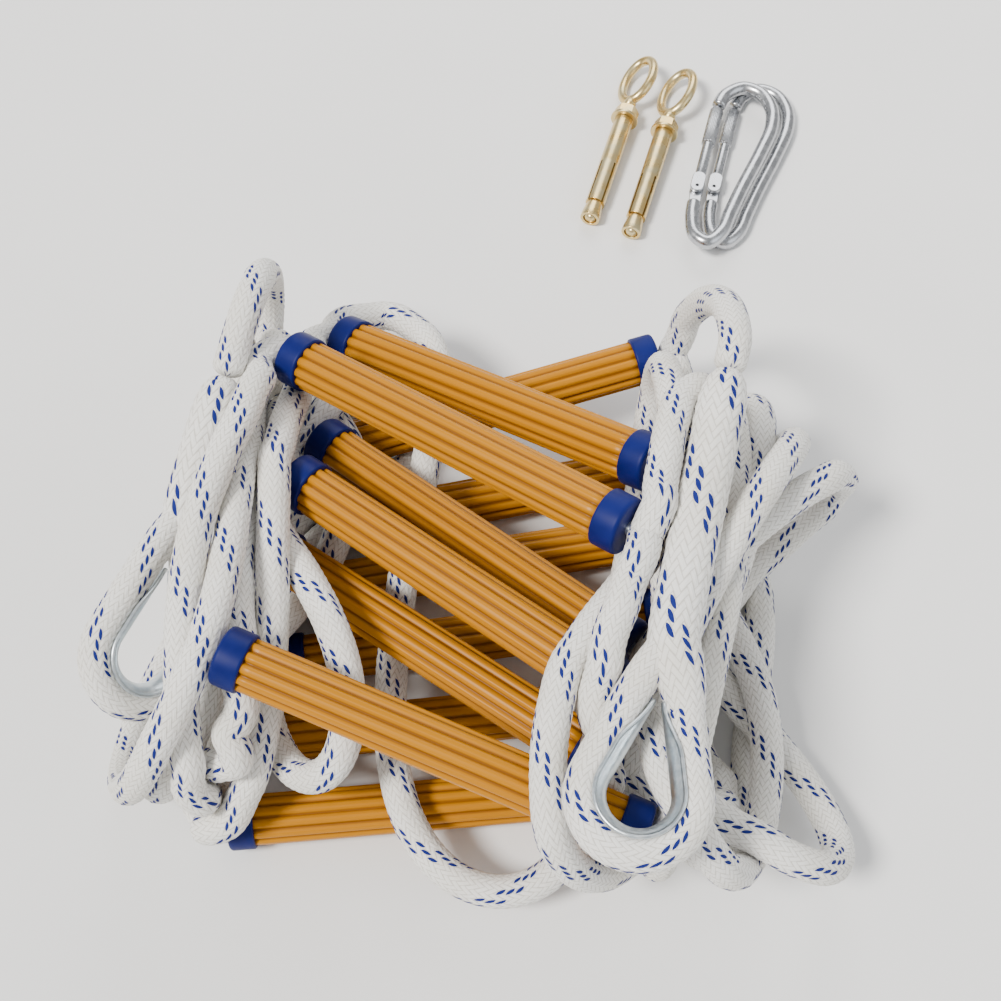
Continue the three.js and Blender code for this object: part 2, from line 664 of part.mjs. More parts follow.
function hookSolid() {
  const curve = new THREE.CatmullRomCurve3(HOOK_BEND.map(flatPoint), false, 'centripetal');
  const wire = sweep(curve.getSpacedPoints(24), () => circle(WIRE_R, 8), upright);
  const [x, y] = GATE_PIVOT;
  const tongueLength = 16;
  const tongue = new THREE.BoxGeometry(9, tongueLength, TONGUE_THICKNESS).translate(x, y - tongueLength / 2, 0);
  const end = disc(GATE_PIVOT, 4.5, TONGUE_THICKNESS, 16);
  return cut(joined(wire, tongue, end), disc(GATE_PIVOT, RIVET_R + GAP, 20, 12));
}

function gateSolid() {
  const pivot = flatPoint(GATE_PIVOT);
  const tip = flatPoint(GATE_TIP);
  const along = tip.clone().sub(pivot).normalize();
  const bar = rod(pivot, tip, GATE_R, 10);
  const grip = rod(tip.clone().addScaledVector(along, -GRIP_LENGTH), tip, GRIP_R, 10);
  const fork = disc(GATE_PIVOT, KNUCKLE, 2 * WIRE_R, 16);
  const slotReach = 5.2;
  const slot = new THREE.BoxGeometry(20, 2 * slotReach, TONGUE_THICKNESS + 2 * GAP).translate(...GATE_PIVOT, 0);
  return cut(joined(bar, grip, fork), slot, disc(GATE_PIVOT, RIVET_R + GAP, 20, 12));
}

const rivetSolid = () => disc(GATE_PIVOT, RIVET_R, 2 * WIRE_R, 12);

function hookPlace({ at: [x, y], height }) {
  return new THREE.Matrix4().makeTranslation(x, y, height)
    .multiply(new THREE.Matrix4().makeRotationZ(THREE.MathUtils.degToRad(HOOK_TURN)));
}

// ---- the assembly ----

const material = (color, roughness, metalness) => new THREE.MeshStandardMaterial({ color, roughness, metalness });
const YELLOW = () => material(0xe9a414, 0.45, 0);
const BLUE = () => material(0x14246e, 0.4, 0);
const ROPE = () => material(0xe9e4da, 0.85, 0);
const GALVANISED = () => material(0xb9c6d0, 0.35, 0.9);
const GOLDEN = () => material(0xc8a252, 0.35, 0.9);
const STEEL = () => material(0x8d9096, 0.3, 0.95);

const group = new THREE.Group();
group.name = 'escape_rope_ladder';

function add(name, geometry, look) {
  const mesh = new THREE.Mesh(geometry.translate(-ORIGIN.x, -ORIGIN.y, -ORIGIN.z), look());
  mesh.name = name;
  group.add(mesh);
}

FRAMES.forEach((frame, i) => {
  const number = String(i + 1).padStart(2, '0');
  add(`rung_${number}`, rungSolid(frame), YELLOW);
  add(`collar_${number}_left`, collarSolid(frame, false), BLUE);
  add(`collar_${number}_right`, collarSolid(frame, true), BLUE);
});

for (const [name, { eye }] of Object.entries(SIDES)) {
  add(`rope_${name}`, ropeSolid(name), ROPE);
  add(`eye_${name}`, eyeSolid(eye), ROPE);
  add(`thimble_${name}`, thimbleSolid(eye), GALVANISED);
}

BOLTS.forEach((at, i) => {
  const { place, rolled } = boltPlaces(at);
  const name = `bolt_${i + 1}`;
  add(`${name}_eye`, boltEyeSolid().applyMatrix4(rolled), GOLDEN);
  add(`${name}_nut`, nutSolid().applyMatrix4(place), GOLDEN);
  add(`${name}_washer`, ring(BORE_R, WASHER_R, WASHER_START, WASHER_LENGTH, 20).applyMatrix4(place), GOLDEN);
  add(`${name}_sleeve`, sleeveSolid().applyMatrix4(place), GOLDEN);
  add(`${name}_cone`, coneSolid().applyMatrix4(place), GOLDEN);
});

HOOKS.forEach((hook, i) => {
  const place = hookPlace(hook);
  const name = `hook_${i + 1}`;
  add(`${name}_body`, hookSolid().applyMatrix4(place), STEEL);
  add(`${name}_gate`, gateSolid().applyMatrix4(place), STEEL);
  add(`${name}_rivet`, rivetSolid().applyMatrix4(place), STEEL);
});

export default group;
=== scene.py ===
"""Escape rope ladder in metres: its braided ropes, ribbed rungs and fittings, shown over the CAD frame."""
import math

import bpy
import numpy as np
from mathutils import Matrix, Vector


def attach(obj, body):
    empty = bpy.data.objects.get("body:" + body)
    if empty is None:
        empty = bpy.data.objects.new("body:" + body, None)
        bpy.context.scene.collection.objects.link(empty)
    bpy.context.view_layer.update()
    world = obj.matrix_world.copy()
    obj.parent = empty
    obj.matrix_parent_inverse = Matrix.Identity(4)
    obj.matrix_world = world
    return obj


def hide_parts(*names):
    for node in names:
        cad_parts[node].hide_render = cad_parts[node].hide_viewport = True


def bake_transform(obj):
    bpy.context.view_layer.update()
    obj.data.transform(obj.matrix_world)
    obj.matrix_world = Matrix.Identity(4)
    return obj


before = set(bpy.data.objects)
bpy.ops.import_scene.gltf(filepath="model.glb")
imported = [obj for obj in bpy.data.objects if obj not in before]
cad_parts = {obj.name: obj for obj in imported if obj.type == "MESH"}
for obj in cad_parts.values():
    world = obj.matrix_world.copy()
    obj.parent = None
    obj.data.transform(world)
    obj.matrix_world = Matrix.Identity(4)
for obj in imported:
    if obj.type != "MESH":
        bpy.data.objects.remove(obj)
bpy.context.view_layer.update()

# Driving dimensions, the same as the CAD's
ORIGIN = np.array((-0.0016, 0.1814, 0.0))
GAP = 0.0003
ROPE_R = 0.010
RUNG_PITCH = 0.410
RUNG_LENGTH = 0.250
RIB_R = 0.0155
RIBS = 12
COLLAR_R = 0.01725
COLLAR_LENGTH = 0.016
ROPE_OUT = 0.011
EYE_R = 0.029
THROAT = 0.072
SPLICE_R = 0.0145
SPLICE_TAPER = 0.024  # the length over which it thickens
KNUCKLE_R = 0.0095
THIMBLE_WALL = 0.002
THIMBLE_END = 0.0134

# The camera: its aim in the rungs' coordinates, its angle above the level in degrees, and its lens in mm
CAMERA_AIM = (0.0, 0.060, 0.120)
CAMERA_ELEVATION = 60
CAMERA_DISTANCE = 0.900
CAMERA_LENS = 53.95
LIGHT_AIM = (0, -0.05, 0.08)

# Rungs from the ladder's top end: left end, turn to the right in plan and rise, in degrees
RUNGS = [
    ((-0.134, 0.140, 0.038), -15, 6),
    ((-0.153, -0.052, 0.146), 22, -6),
    ((-0.130, 0.095, COLLAR_R), -12, 0),
    ((-0.143, 0.050, 0.079), 36, 4),
    ((-0.135, 0.050, COLLAR_R), -10, 0),
    ((-0.125, 0.078, 0.116), 38, 5),
    ((-0.140, 0.000, COLLAR_R), -8, 0),
    ((-0.115, 0.125, 0.084), 40, 7),
    ((-0.150, -0.052, COLLAR_R), -6, 0),
    ((-0.130, 0.155, 0.135), 35.6, 9),
    ((-0.164, -0.105, COLLAR_R), -5, 0),
    ((-0.105, 0.205, 0.084), 35.7, 16),
]

# Each rope's way points, as the CAD has them: from the eye's pivot to rung 1, from each rung to the next,
# and the tail. The rope is pinned at the rungs, and settle() lays the rest.
SIDES = {
    "left": {
        "centre": (-0.208, -0.032, 0.1),
        "pivot": (-0.166, 0.128, 0.152),
        "tilt": -45,
        "ways": [
            [
                (-0.153, 0.168, 0.165), (-0.136, 0.2, 0.16), (-0.126, 0.222, 0.13), (-0.14, 0.215, 0.085),
                (-0.148, 0.19, 0.05),
            ],
            [
                (-0.178, 0.06, 0.014), (-0.192, -0.02, 0.012), (-0.2, -0.085, 0.022),
                (-0.202, -0.118, 0.055), (-0.196, -0.09, 0.095),
            ],
            [
                (-0.16, 0.03, 0.122), (-0.15, 0.11, 0.118), (-0.128, 0.19, 0.11), (-0.118, 0.218, 0.078),
                (-0.125, 0.185, 0.035),
            ],
            [
                (-0.168, 0.04, 0.012), (-0.174, -0.01, 0.012), (-0.184, -0.075, 0.02),
                (-0.182, -0.108, 0.052), (-0.176, -0.075, 0.082), (-0.166, -0.01, 0.082),
            ],
            [
                (-0.146, 0.12, 0.072), (-0.15, 0.19, 0.08), (-0.16, 0.225, 0.055), (-0.165, 0.19, 0.025),
                (-0.16, 0.11, 0.014),
            ],
            [
                (-0.165, -0.005, 0.034), (-0.15, -0.07, 0.045), (-0.142, -0.12, 0.072),
                (-0.146, -0.08, 0.108), (-0.144, 0.02, 0.108),
            ],
            [
                (-0.128, 0.15, 0.1), (-0.105, 0.205, 0.06), (-0.095, 0.215, 0.04), (-0.11, 0.15, 0.04),
                (-0.13, 0.06, 0.045),
            ],
            [
                (-0.14, -0.04, 0.05), (-0.11, -0.085, 0.05), (-0.095, -0.118, 0.075), (-0.098, -0.08, 0.11),
                (-0.1, -0.02, 0.118), (-0.108, 0.06, 0.092),
            ],
            [
                (-0.112, 0.18, 0.085), (-0.08, 0.215, 0.06), (-0.06, 0.19, 0.045), (-0.09, 0.1, 0.05),
                (-0.13, 0.0, 0.055),
            ],
            [
                (-0.168, -0.09, 0.045), (-0.165, -0.122, 0.075), (-0.163, -0.08, 0.112),
                (-0.158, 0.02, 0.15), (-0.15, 0.1, 0.15),
            ],
            [
                (-0.12, 0.21, 0.115), (-0.1, 0.24, 0.08), (-0.08, 0.2, 0.05), (-0.086, 0.11, 0.062),
                (-0.112, 0.0, 0.06), (-0.16, -0.06, 0.05),
            ],
            [
                (-0.178, -0.145, 0.02), (-0.15, -0.15, 0.05), (-0.13, -0.11, 0.09), (-0.125, 0.0, 0.14),
                (-0.118, 0.1, 0.15),
            ],
        ],
        "tail": [
            (-0.1, 0.235, 0.1), (-0.08, 0.235, 0.07), (-0.06, 0.19, 0.062), (-0.06, 0.1, 0.062),
            (-0.07, 0.015, 0.064), (-0.05, -0.04, 0.064), (-0.033, -0.095, 0.055), (-0.015, -0.14, 0.03),
            (0.012, -0.16, 0.022), (0.03, -0.14, 0.035), (0.034, -0.09, 0.05), (0.034, -0.03, 0.06),
            (0.04, 0.03, 0.062),
        ],
    },
    "right": {
        "centre": (0.07, -0.14, 0.166),
        "pivot": (0.133, 0.112, 0.181),
        "tilt": 0,
        "ways": [
            [
                (0.143, 0.138, 0.184), (0.147, 0.158, 0.168), (0.146, 0.168, 0.14), (0.14, 0.178, 0.105),
                (0.134, 0.19, 0.07),
            ],
            [
                (0.15, 0.12, 0.06), (0.13, 0.02, 0.05), (0.11, -0.1, 0.03), (0.103, -0.175, 0.04),
                (0.1, -0.19, 0.08),
            ],
            [
                (0.095, -0.1, 0.12), (0.13, 0.0, 0.13), (0.148, 0.11, 0.14), (0.15, 0.19, 0.13),
                (0.155, 0.215, 0.08), (0.14, 0.19, 0.03),
            ],
            [
                (0.14, 0.06, 0.014), (0.135, -0.06, 0.014), (0.13, -0.14, 0.022), (0.128, -0.175, 0.052),
                (0.11, -0.15, 0.095),
            ],
            [
                (0.09, -0.04, 0.12), (0.14, 0.06, 0.12), (0.172, 0.165, 0.12), (0.18, 0.195, 0.09),
                (0.165, 0.16, 0.04), (0.14, 0.12, 0.018),
            ],
            [
                (0.15, 0.03, 0.034), (0.155, -0.08, 0.03), (0.15, -0.15, 0.045), (0.15, -0.17, 0.075),
                (0.12, -0.14, 0.12),
            ],
            [
                (0.11, -0.02, 0.14), (0.16, 0.08, 0.13), (0.2, 0.15, 0.125), (0.208, 0.168, 0.09),
                (0.18, 0.13, 0.04), (0.14, 0.07, 0.016),
            ],
            [
                (0.16, -0.03, 0.02), (0.176, -0.1, 0.025), (0.172, -0.14, 0.06), (0.15, -0.12, 0.105),
            ],
            [
                (0.13, 0.02, 0.13), (0.19, 0.07, 0.12), (0.236, 0.11, 0.09), (0.238, 0.115, 0.05),
                (0.19, 0.06, 0.02), (0.14, 0.0, 0.016),
            ],
            [
                (0.125, -0.09, 0.035), (0.09, -0.15, 0.035), (0.082, -0.181, 0.06), (0.08, -0.16, 0.104),
                (0.076, -0.1, 0.14), (0.076, -0.04, 0.158),
            ],
            [
                (0.1, 0.08, 0.165), (0.13, 0.18, 0.15), (0.142, 0.218, 0.12), (0.13, 0.19, 0.07),
                (0.12, 0.06, 0.07), (0.115, -0.04, 0.05),
            ],
            [
                (0.06, -0.13, 0.03), (0.025, -0.16, 0.05), (0.025, -0.165, 0.09), (0.03, -0.125, 0.146),
                (0.041, -0.07, 0.158), (0.056, -0.02, 0.15), (0.076, 0.02, 0.14),
            ],
        ],
        "tail": [
            (0.115, 0.13, 0.15), (0.128, 0.175, 0.125), (0.12, 0.16, 0.085), (0.1, 0.11, 0.07),
            (0.085, 0.06, 0.06), (0.07, 0.01, 0.055),
        ],
    },
}

# How settle() lays a rope: like a chain of short stiff links that bends gently and sinks until it touches
LINK = 0.010
LAY_STEPS = 520
SINK_STEPS = 400
SOFT_STEPS = 380
SINK = 0.00006
BEND_NEAR = 0.1125
BEND_FAR = 0.04
BEND_REACH = 3
LATE_BEND = 0.12
STRAND_GAP = 2 * ROPE_R + 0.0006
PAIR_STEPS = 10
PAIR_REACH = 0.015
RUNG_GAP = ROPE_R + 0.0007
FLOOR_GAP = ROPE_R + 0.0002
PULL_SWEEPS = 6

# The braid: strands each way round, how far one runs in a whole turn, and the blue ones among them
STRANDS = 20
BRAID_PITCH = 0.110
TRACER_EVERY = 10
TRACER_COUNT = 3
AROUND = 80
RELIEF = 0.0005

# Expansion eye bolts. Starts and ends are measured from the middle of the eye.
SHANK_R = 0.005
BORE_R = SHANK_R + GAP
THREAD_PITCH = 0.0015
EYE_WIRE_R = 0.00375
EYE_HALF_WIDTH = 0.01425
EYE_HALF_LENGTH = 0.022
NUT_START = 0.034
NUT_R = 0.0098
NUT_LENGTH = 0.008
WASHER_START = 0.0423
WASHER_R = 0.011
WASHER_LENGTH = 0.0025
SLEEVE_START = 0.0451
SLEEVE_R = 0.0075
SLEEVE_LENGTH = 0.088
SLOT_LENGTH = 0.040
SLOT_WIDTH = 0.0016
CONE_START = 0.1334
CONE_LENGTH = 0.015
BOLT_TURN = 253
BOLTS = [(0.112, 0.517), (0.143, 0.503)]

# Snap hooks. Points are measured from the middle of the bottom end.
WIRE_R = 0.0055
HOOK_BEND = [
    (-0.0135, 0.147), (-0.009, 0.161), (0.0045, 0.172), (0.019, 0.168), (0.029, 0.153), (0.031, 0.133),
    (0.0245, 0.101), (0.0155, 0.067), (0.009, 0.039), (0.0045, 0.019), (-0.0045, 0.008), (-0.0145, 0.013),
    (-0.019, 0.029), (-0.0195, 0.046),
]
GATE_PIVOT = (-0.0192, 0.058)
GATE_TIP = (-0.0136, 0.1453)
GATE_R = 0.0042
GRIP_R = 0.0054
GRIP_LENGTH = 0.040
TONGUE_THICKNESS = 0.004
KNUCKLE = 0.0052
RIVET_R = 0.002
HOOK_TURN = -11
HOOKS = [(0.159, 0.336, 3 * WIRE_R + GAP), (0.174, 0.345, WIRE_R)]


def unit(v):
    return v / np.linalg.norm(v)


# ---- camera, floor and light ----


def make_camera():
    target = Vector(np.array(CAMERA_AIM) - ORIGIN)
    elevation = math.radians(CAMERA_ELEVATION)
    back = Vector((0, -math.cos(elevation), math.sin(elevation)))
    data = bpy.data.cameras.new("camera")
    data.lens = CAMERA_LENS
    data.clip_start = 0.05
    data.clip_end = 100
    camera = bpy.data.objects.new("camera", data)
    bpy.context.scene.collection.objects.link(camera)
    camera.location = target + back * CAMERA_DISTANCE
    camera.rotation_mode = "QUATERNION"
    camera.rotation_quaternion = (-back).to_track_quat("-Z", "Y")
    bpy.context.scene.camera = camera


def add_light(name, kind, place, size, power, colour):
    """A sun, whose size is in degrees, or a square lamp, whose size is in metres; both aim at the ladder."""
    data = bpy.data.lights.new(name, kind)
    if kind == "SUN":
        data.angle = math.radians(size)
    else:
        data.shape = "SQUARE"
        data.size = size
    data.energy = power
    data.color = colour
    light = bpy.data.objects.new(name, data)
    bpy.context.scene.collection.objects.link(light)
    light.location = place
    light.rotation_mode = "QUATERNION"
    light.rotation_quaternion = (Vector(LIGHT_AIM) - Vector(place)).to_track_quat("-Z", "Y")


def make_lights():
    add_light("key", "SUN", (-1.1, -0.7, 1.9), 15, 4.8, (1.0, 0.97, 0.92))
    add_light("fill", "AREA", (1.6, -0.5, 1.2), 1.4, 10, (0.9, 0.95, 1.0))
    add_light("back", "AREA", (0.2, 1.7, 1.3), 1.2, 20, (1.0, 1.0, 1.0))
    sky_strength = 0.6
    world = bpy.data.worlds.new("studio")
    world.use_nodes = True
    background = world.node_tree.nodes["Background"]
    background.inputs["Color"].default_value = (1, 1, 1, 1)
    background.inputs["Strength"].default_value = sky_strength
    bpy.context.scene.world = world


# ---- meshes ----


def link_mesh(name, vertices, faces, uvs=None, smooth=True):
    mesh = bpy.data.meshes.new(name)
    mesh.from_pydata(np.asarray(vertices).tolist(), [], faces)
    if uvs is not None:
        layer = mesh.uv_layers.new(name="braid")
        layer.data.foreach_set("uv", np.asarray(uvs, np.float32).ravel())
    mesh.polygons.foreach_set("use_smooth", [smooth] * len(mesh.polygons))
    mesh.update()
    piece = bpy.data.objects.new(name, mesh)
    bpy.context.scene.collection.objects.link(piece)
    return piece


def grid_faces(rows, columns, closed_rows=False):
    """Quads of a sheet of rows x columns points whose columns close round."""
    i = np.arange(rows if closed_rows else rows - 1)[:, None]
    k = np.arange(columns)[None]
    i_next, k_next = (i + 1) % rows, (k + 1) % columns
    here, ahead = i * columns, i_next * columns
    quads = np.stack([here + k, here + k_next, ahead + k_next, ahead + k], -1)
    return quads.reshape(-1, 4).tolist()


def cap_faces(rows, columns):
    first = list(range(columns))[::-1]
    last = [(rows - 1) * columns + k for k in range(columns)]
    return [first, last]


def frames_along(points, first_up, closed=False):
    """Unit tangents, and two normals that turn as little as they can from one point to the next."""
    ahead = np.roll(points, -1, 0) - points
    behind = points - np.roll(points, 1, 0)
    if not closed:
        ahead[-1], behind[0] = behind[-1], ahead[0]
    ahead /= np.linalg.norm(ahead, axis=1)[:, None]
    behind /= np.linalg.norm(behind, axis=1)[:, None]
    tangents = ahead + behind
    tangents /= np.linalg.norm(tangents, axis=1)[:, None]
    ups = np.empty_like(points)
    up = np.array(first_up, float)
    for i, tangent in enumerate(tangents):
        up = unit(up - (up @ tangent) * tangent)
        ups[i] = up
    return tangents, ups, np.cross(tangents, ups)


def sweep(name, points, outline, first_up=(0, 0, 1), closed=False, smooth=True):
    """A solid that follows points. outline is one (up, across) outline, or one for each point."""
    points = np.asarray(points, float)
    outline = np.asarray(outline, float)
    if outline.ndim == 2:
        outline = np.broadcast_to(outline, (len(points), *outline.shape))
    _, up, across = frames_along(points, first_up, closed)
    grid = points[:, None] + outline[..., :1] * up[:, None] + outline[..., 1:] * across[:, None]
    rows, columns = grid.shape[:2]
    faces = grid_faces(rows, columns, closed)
    if not closed:
        faces += cap_faces(rows, columns)
    return link_mesh(name, grid.reshape(-1, 3), faces, smooth=smooth)


def angles(count):
    return np.arange(count) * 2 * np.pi / count


def circle(radius, sides):
    a = angles(sides)
    return np.stack([radius * np.cos(a), radius * np.sin(a)], 1)


def lathe(name, radius, heights, columns, closed=False):
    """A solid about +Y. radius goes with the heights, the angles or both; a closed one makes a ring."""
    a = angles(columns)
    shape = (len(heights), columns)
    radius = np.broadcast_to(radius, shape)
    height = np.broadcast_to(heights[:, None], shape)
    grid = np.stack([radius * np.sin(a), height, radius * np.cos(a)], -1)
    faces = grid_faces(*shape, closed)
    if not closed:
        faces += cap_faces(*shape)
    return link_mesh(name, grid.reshape(-1, 3), faces)


def turned(name, profile, segments=64, closed=False):
    """A solid of revolution about +Y from (radius, height) points."""
    profile = np.asarray(profile, float)
    return lathe(name, profile[:, :1], profile[:, 1], segments, closed)


def rounded(profile, radius, steps=4):
    """The same open outline with its inner corners rounded."""
    profile = [np.array(p, float) for p in profile]
    out = [profile[0]]
    for before, corner, after in zip(profile, profile[1:], profile[2:]):
        a, b = before - corner, after - corner
        reach = min(radius, 0.49 * np.linalg.norm(a), 0.49 * np.linalg.norm(b))
        start, end = corner + unit(a) * reach, corner + unit(b) * reach
        for t in np.linspace(0, 1, steps + 1):
            out.append((1 - t) ** 2 * start + 2 * t * (1 - t) * corner + t * t * end)
    out.append(profile[-1])
    return np.array(out)


def finish_piece(piece, material, body, slot, *nodes):
    """Gives a piece its look, its CAD body and the CAD nodes that it stands for. slot is not used."""
    piece.data.materials.clear()
    piece.data.materials.append(material)
    if body:
        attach(piece, body)
    if nodes:
        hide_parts(*nodes)
    return piece


def joined(name, parts):
    """One object from several."""
    bpy.ops.object.select_all(action="DESELECT")
    for part in parts:
        part.select_set(True)
    bpy.context.view_layer.objects.active = parts[0]
    bpy.ops.object.join()
    parts[0].name = name
    parts[0].data.name = name
    return parts[0]


# ---- the route of the ropes ----


def rung_frame(left, turn, rise):
    a, b = math.radians(turn), math.radians(rise)
    along = np.array((math.cos(b) * math.cos(a), -math.cos(b) * math.sin(a), math.sin(b)))
    return np.array(left), along


FRAMES = [rung_frame(*rung) for rung in RUNGS]


def rope_hole(rung, side):
    start, along = rung
    return start + along * (-ROPE_OUT if side == "left" else RUNG_LENGTH + ROPE_OUT)


def eye_frame(side):
    """An eye's centre and axes: back runs to its pivot, across lies in its plane, through is its normal."""
    eye = SIDES[side]
    middle = np.array(eye["centre"])
    back = np.array(eye["pivot"]) - middle
    length = np.linalg.norm(back)
    back = back / length
    level = unit(np.cross(back, (0, 0, 1)))
    up = np.cross(level, back)
    a = math.radians(eye["tilt"])
    across = level * math.cos(a) + up * math.sin(a)
    return middle, back, across, np.cross(across, back), length


def length_of(points):
    return np.linalg.norm(np.diff(points, axis=0), axis=1).sum()


def evenly(points, count):
    run = np.concatenate([[0], np.cumsum(np.linalg.norm(np.diff(points, axis=0), axis=1))])
    at = np.linspace(0, run[-1], count + 1)
    return np.stack([np.interp(at, run, points[:, k]) for k in range(3)], 1)


def smooth_curve(knots, fine):
    """Centripetal Catmull-Rom curve through the knots, with fine points from each knot to the next."""
    padded = np.vstack([2 * knots[0] - knots[1], knots, 2 * knots[-1] - knots[-2]])
    t = np.linspace(0, 1, fine, endpoint=False)[:, None]
    out = []
    for x0, x1, x2, x3 in zip(padded, padded[1:], padded[2:], padded[3:]):
        d0, d1, d2 = (math.sqrt(np.linalg.norm(b - a)) for a, b in ((x0, x1), (x1, x2), (x2, x3)))
        m1 = ((x1 - x0) / d0 - (x2 - x0) / (d0 + d1) + (x2 - x1) / d1) * d1
        m2 = ((x2 - x1) / d1 - (x3 - x1) / (d1 + d2) + (x3 - x2) / d2) * d1
        square, cube = -3 * x1 + 3 * x2 - 2 * m1 - m2, 2 * x1 - 2 * x2 + m1 + m2
        out.append(x1 + m1 * t + square * t**2 + cube * t**3)
    return np.vstack([*out, knots[-1:]])


def rough_route(side):
    """The rope's first guess, with the same number of links between all rungs, and the pinned links."""
    rope = SIDES[side]
    first = np.array(rope["pivot"])
    knots = [first]
    rung_knots = []
    for way, rung in zip(rope["ways"], FRAMES):
        knots += [np.array(p) for p in way]
        rung_knots.append(len(knots))
        knots.append(rope_hole(rung, side))
    knots += [np.array(p) for p in rope["tail"]]
    fine = 40
    dense = smooth_curve(np.array(knots), fine)
    points, pinned, start = [], [0, 1, 2], 0
    for k, knot in enumerate(rung_knots):
        stretch = dense[start : fine * knot + 1]
        links = round(length_of(stretch) / LINK) if k == 0 else round(RUNG_PITCH / LINK)
        points.extend(evenly(stretch, links)[:-1])
        pinned.append(len(points))
        start = fine * knot
    tail = dense[start:]
    points.extend(evenly(tail, round(length_of(tail) / LINK)))
    points = np.array(points)
    back = eye_frame(side)[1]
    points[:3] = first + back * LINK * np.arange(3)[:, None]
    return points, np.array(pinned)


def bend(points, reach, amount):
    r, n = reach, len(points)
    middle = slice(2 * r, n - 2 * r)
    move = points[: n - 4 * r] + points[4 * r :] - 4 * points[r : n - 3 * r] - 4 * points[3 * r : n - r]
    points[middle] -= amount * (move + 6 * points[middle])


def part_strands(points, pairs):
    i, j = pairs
    apart = points[i] - points[j]
    gap = np.linalg.norm(apart, axis=1)
    near = gap < STRAND_GAP
    i, j, apart, gap = i[near], j[near], apart[near], gap[near]
    push = apart * ((STRAND_GAP - gap) / 4 / gap)[:, None]
    np.add.at(points, i, push)
    np.add.at(points, j, -push)


def clear_eye(points, balls, radii):
    """Keeps the rope off the eye that lies on it, except for the first links, which belong to the eye."""
    own = 6
    apart = points[own:, None] - balls[None]
    gap = np.linalg.norm(apart, axis=2)
    wanted = radii + ROPE_R + GAP
    push = np.where(gap < wanted, (wanted - gap) * 0.3 / gap, 0)
    points[own:] += (apart * push[..., None]).sum(1)


def clear_rung(points, start, along):
    middle = start + along * RUNG_LENGTH / 2
    away = points - middle
    axial = away @ along
    radial = away - axial[:, None] * along
    out = np.linalg.norm(radial, axis=1)
    by_collar = np.abs(axial) > RUNG_LENGTH / 2 - COLLAR_LENGTH - ROPE_R
    radius = np.where(by_collar, COLLAR_R, RIB_R + 0.0002)
    past = np.maximum(np.abs(axial) - RUNG_LENGTH / 2, 0)
    over = np.maximum(out - radius, 0)
    gap = np.hypot(past, over)
    share = 0.7
    inside = gap == 0
    points[inside] += radial[inside] * (share * (RUNG_GAP + radius - out) / out)[inside, None]
    close = (gap > 0) & (gap < RUNG_GAP)
    push = radial * (over / out)[:, None] + along * (np.sign(axial) * past)[:, None]
    points[close] += push[close] * (share * (RUNG_GAP - gap[close]) / gap[close])[:, None]


def pull_links(points, pinned, places):
    for _ in range(PULL_SWEEPS):
        for first in (0, 1):
            i = np.arange(first, len(points) - 1, 2)
            link = points[i + 1] - points[i]
            length = np.linalg.norm(link, axis=1)[:, None]
            link *= (length - LINK) / 2 / length
            points[i] += link
            points[i + 1] -= link
            points[pinned] = places


def settle(points, pinned, balls, radii):
    """Lays a rope: it keeps its length and its place at the rungs, and comes to lie on what is there."""
    places = points[pinned].copy()
    every = np.triu_indices(len(points), 4)
    for step in range(LAY_STEPS):
        soft = 1 if step < SOFT_STEPS else LATE_BEND
        points[:, 2] -= SINK * max(0, 1 - step / SINK_STEPS)
        bend(points, 1, soft * BEND_NEAR)
        bend(points, BEND_REACH, soft * BEND_FAR)
        clear_eye(points, balls, radii)
        if step % PAIR_STEPS == 0:
            gap = np.linalg.norm(points[every[0]] - points[every[1]], axis=1)
            close = gap < STRAND_GAP + PAIR_REACH
            pairs = every[0][close], every[1][close]
        part_strands(points, pairs)
        for start, along in FRAMES:
            clear_rung(points, start, along)
        points[:, 2] = np.maximum(points[:, 2], FLOOR_GAP)
        pull_links(points, pinned, places)
    return points


def loop_arc(steps=14):
    """Points of the loop round a thimble, across and back from the eye's centre."""
    past = 0.28
    a = math.pi - past + (math.pi + 2 * past) * np.arange(steps + 1) / steps
    return np.stack([EYE_R * np.cos(a), EYE_R * np.sin(a)], 1)


def in_eye(side, flat):
    middle, back, across, _, _ = eye_frame(side)
    flat = np.asarray(flat, float)
    return middle + flat[:, :1] * across + flat[:, 1:] * back


def eye_route(side, steps=14):
    """The eye's rope: along the splice from the pivot, round the thimble and back into the splice."""
    length = eye_frame(side)[4]
    flat = [
        (0, length), (0, THROAT + 0.020), (-0.004, THROAT + 0.008), (-0.010, THROAT - 0.006), *loop_arc(steps),
        (0.010, THROAT - 0.006), (0.005, THROAT + 0.014),
    ]
    return in_eye(side, flat)


def eye_balls(side):
    """Balls that fill an eye's splice, loop and thimble, for the strands beneath to keep clear of."""
    middle, _, _, _, length = eye_frame(side)
    route = eye_route(side)
    spacing, room, knuckle = 0.006, 0.0005, 0.008
    cord = evenly(route, round(length_of(route) / spacing))
    from_pivot = np.linalg.norm(cord - np.array(SIDES[side]["pivot"]), axis=1)
    spliced = np.arange(len(cord)) * spacing < length - THROAT + spacing
    spliced &= np.linalg.norm(cord - middle, axis=1) > THROAT
    thick = KNUCKLE_R + (SPLICE_R - KNUCKLE_R) * np.minimum(from_pivot / SPLICE_TAPER, 1)
    radii = room + np.where(spliced, thick, ROPE_R)
    kept = from_pivot > knuckle
    lip = in_eye(side, 0.7 * loop_arc())
    return np.vstack([cord[kept], lip]), np.concatenate([radii[kept], np.full(len(lip), 0.0115)])


def rope_line(side):
    """The laid rope's middle line in the row frame, smoothed."""
    points, pinned = rough_route(side)
    laid = settle(points, pinned, *eye_balls(side))
    return smooth_curve(laid - ORIGIN, 8)


# ---- materials ----


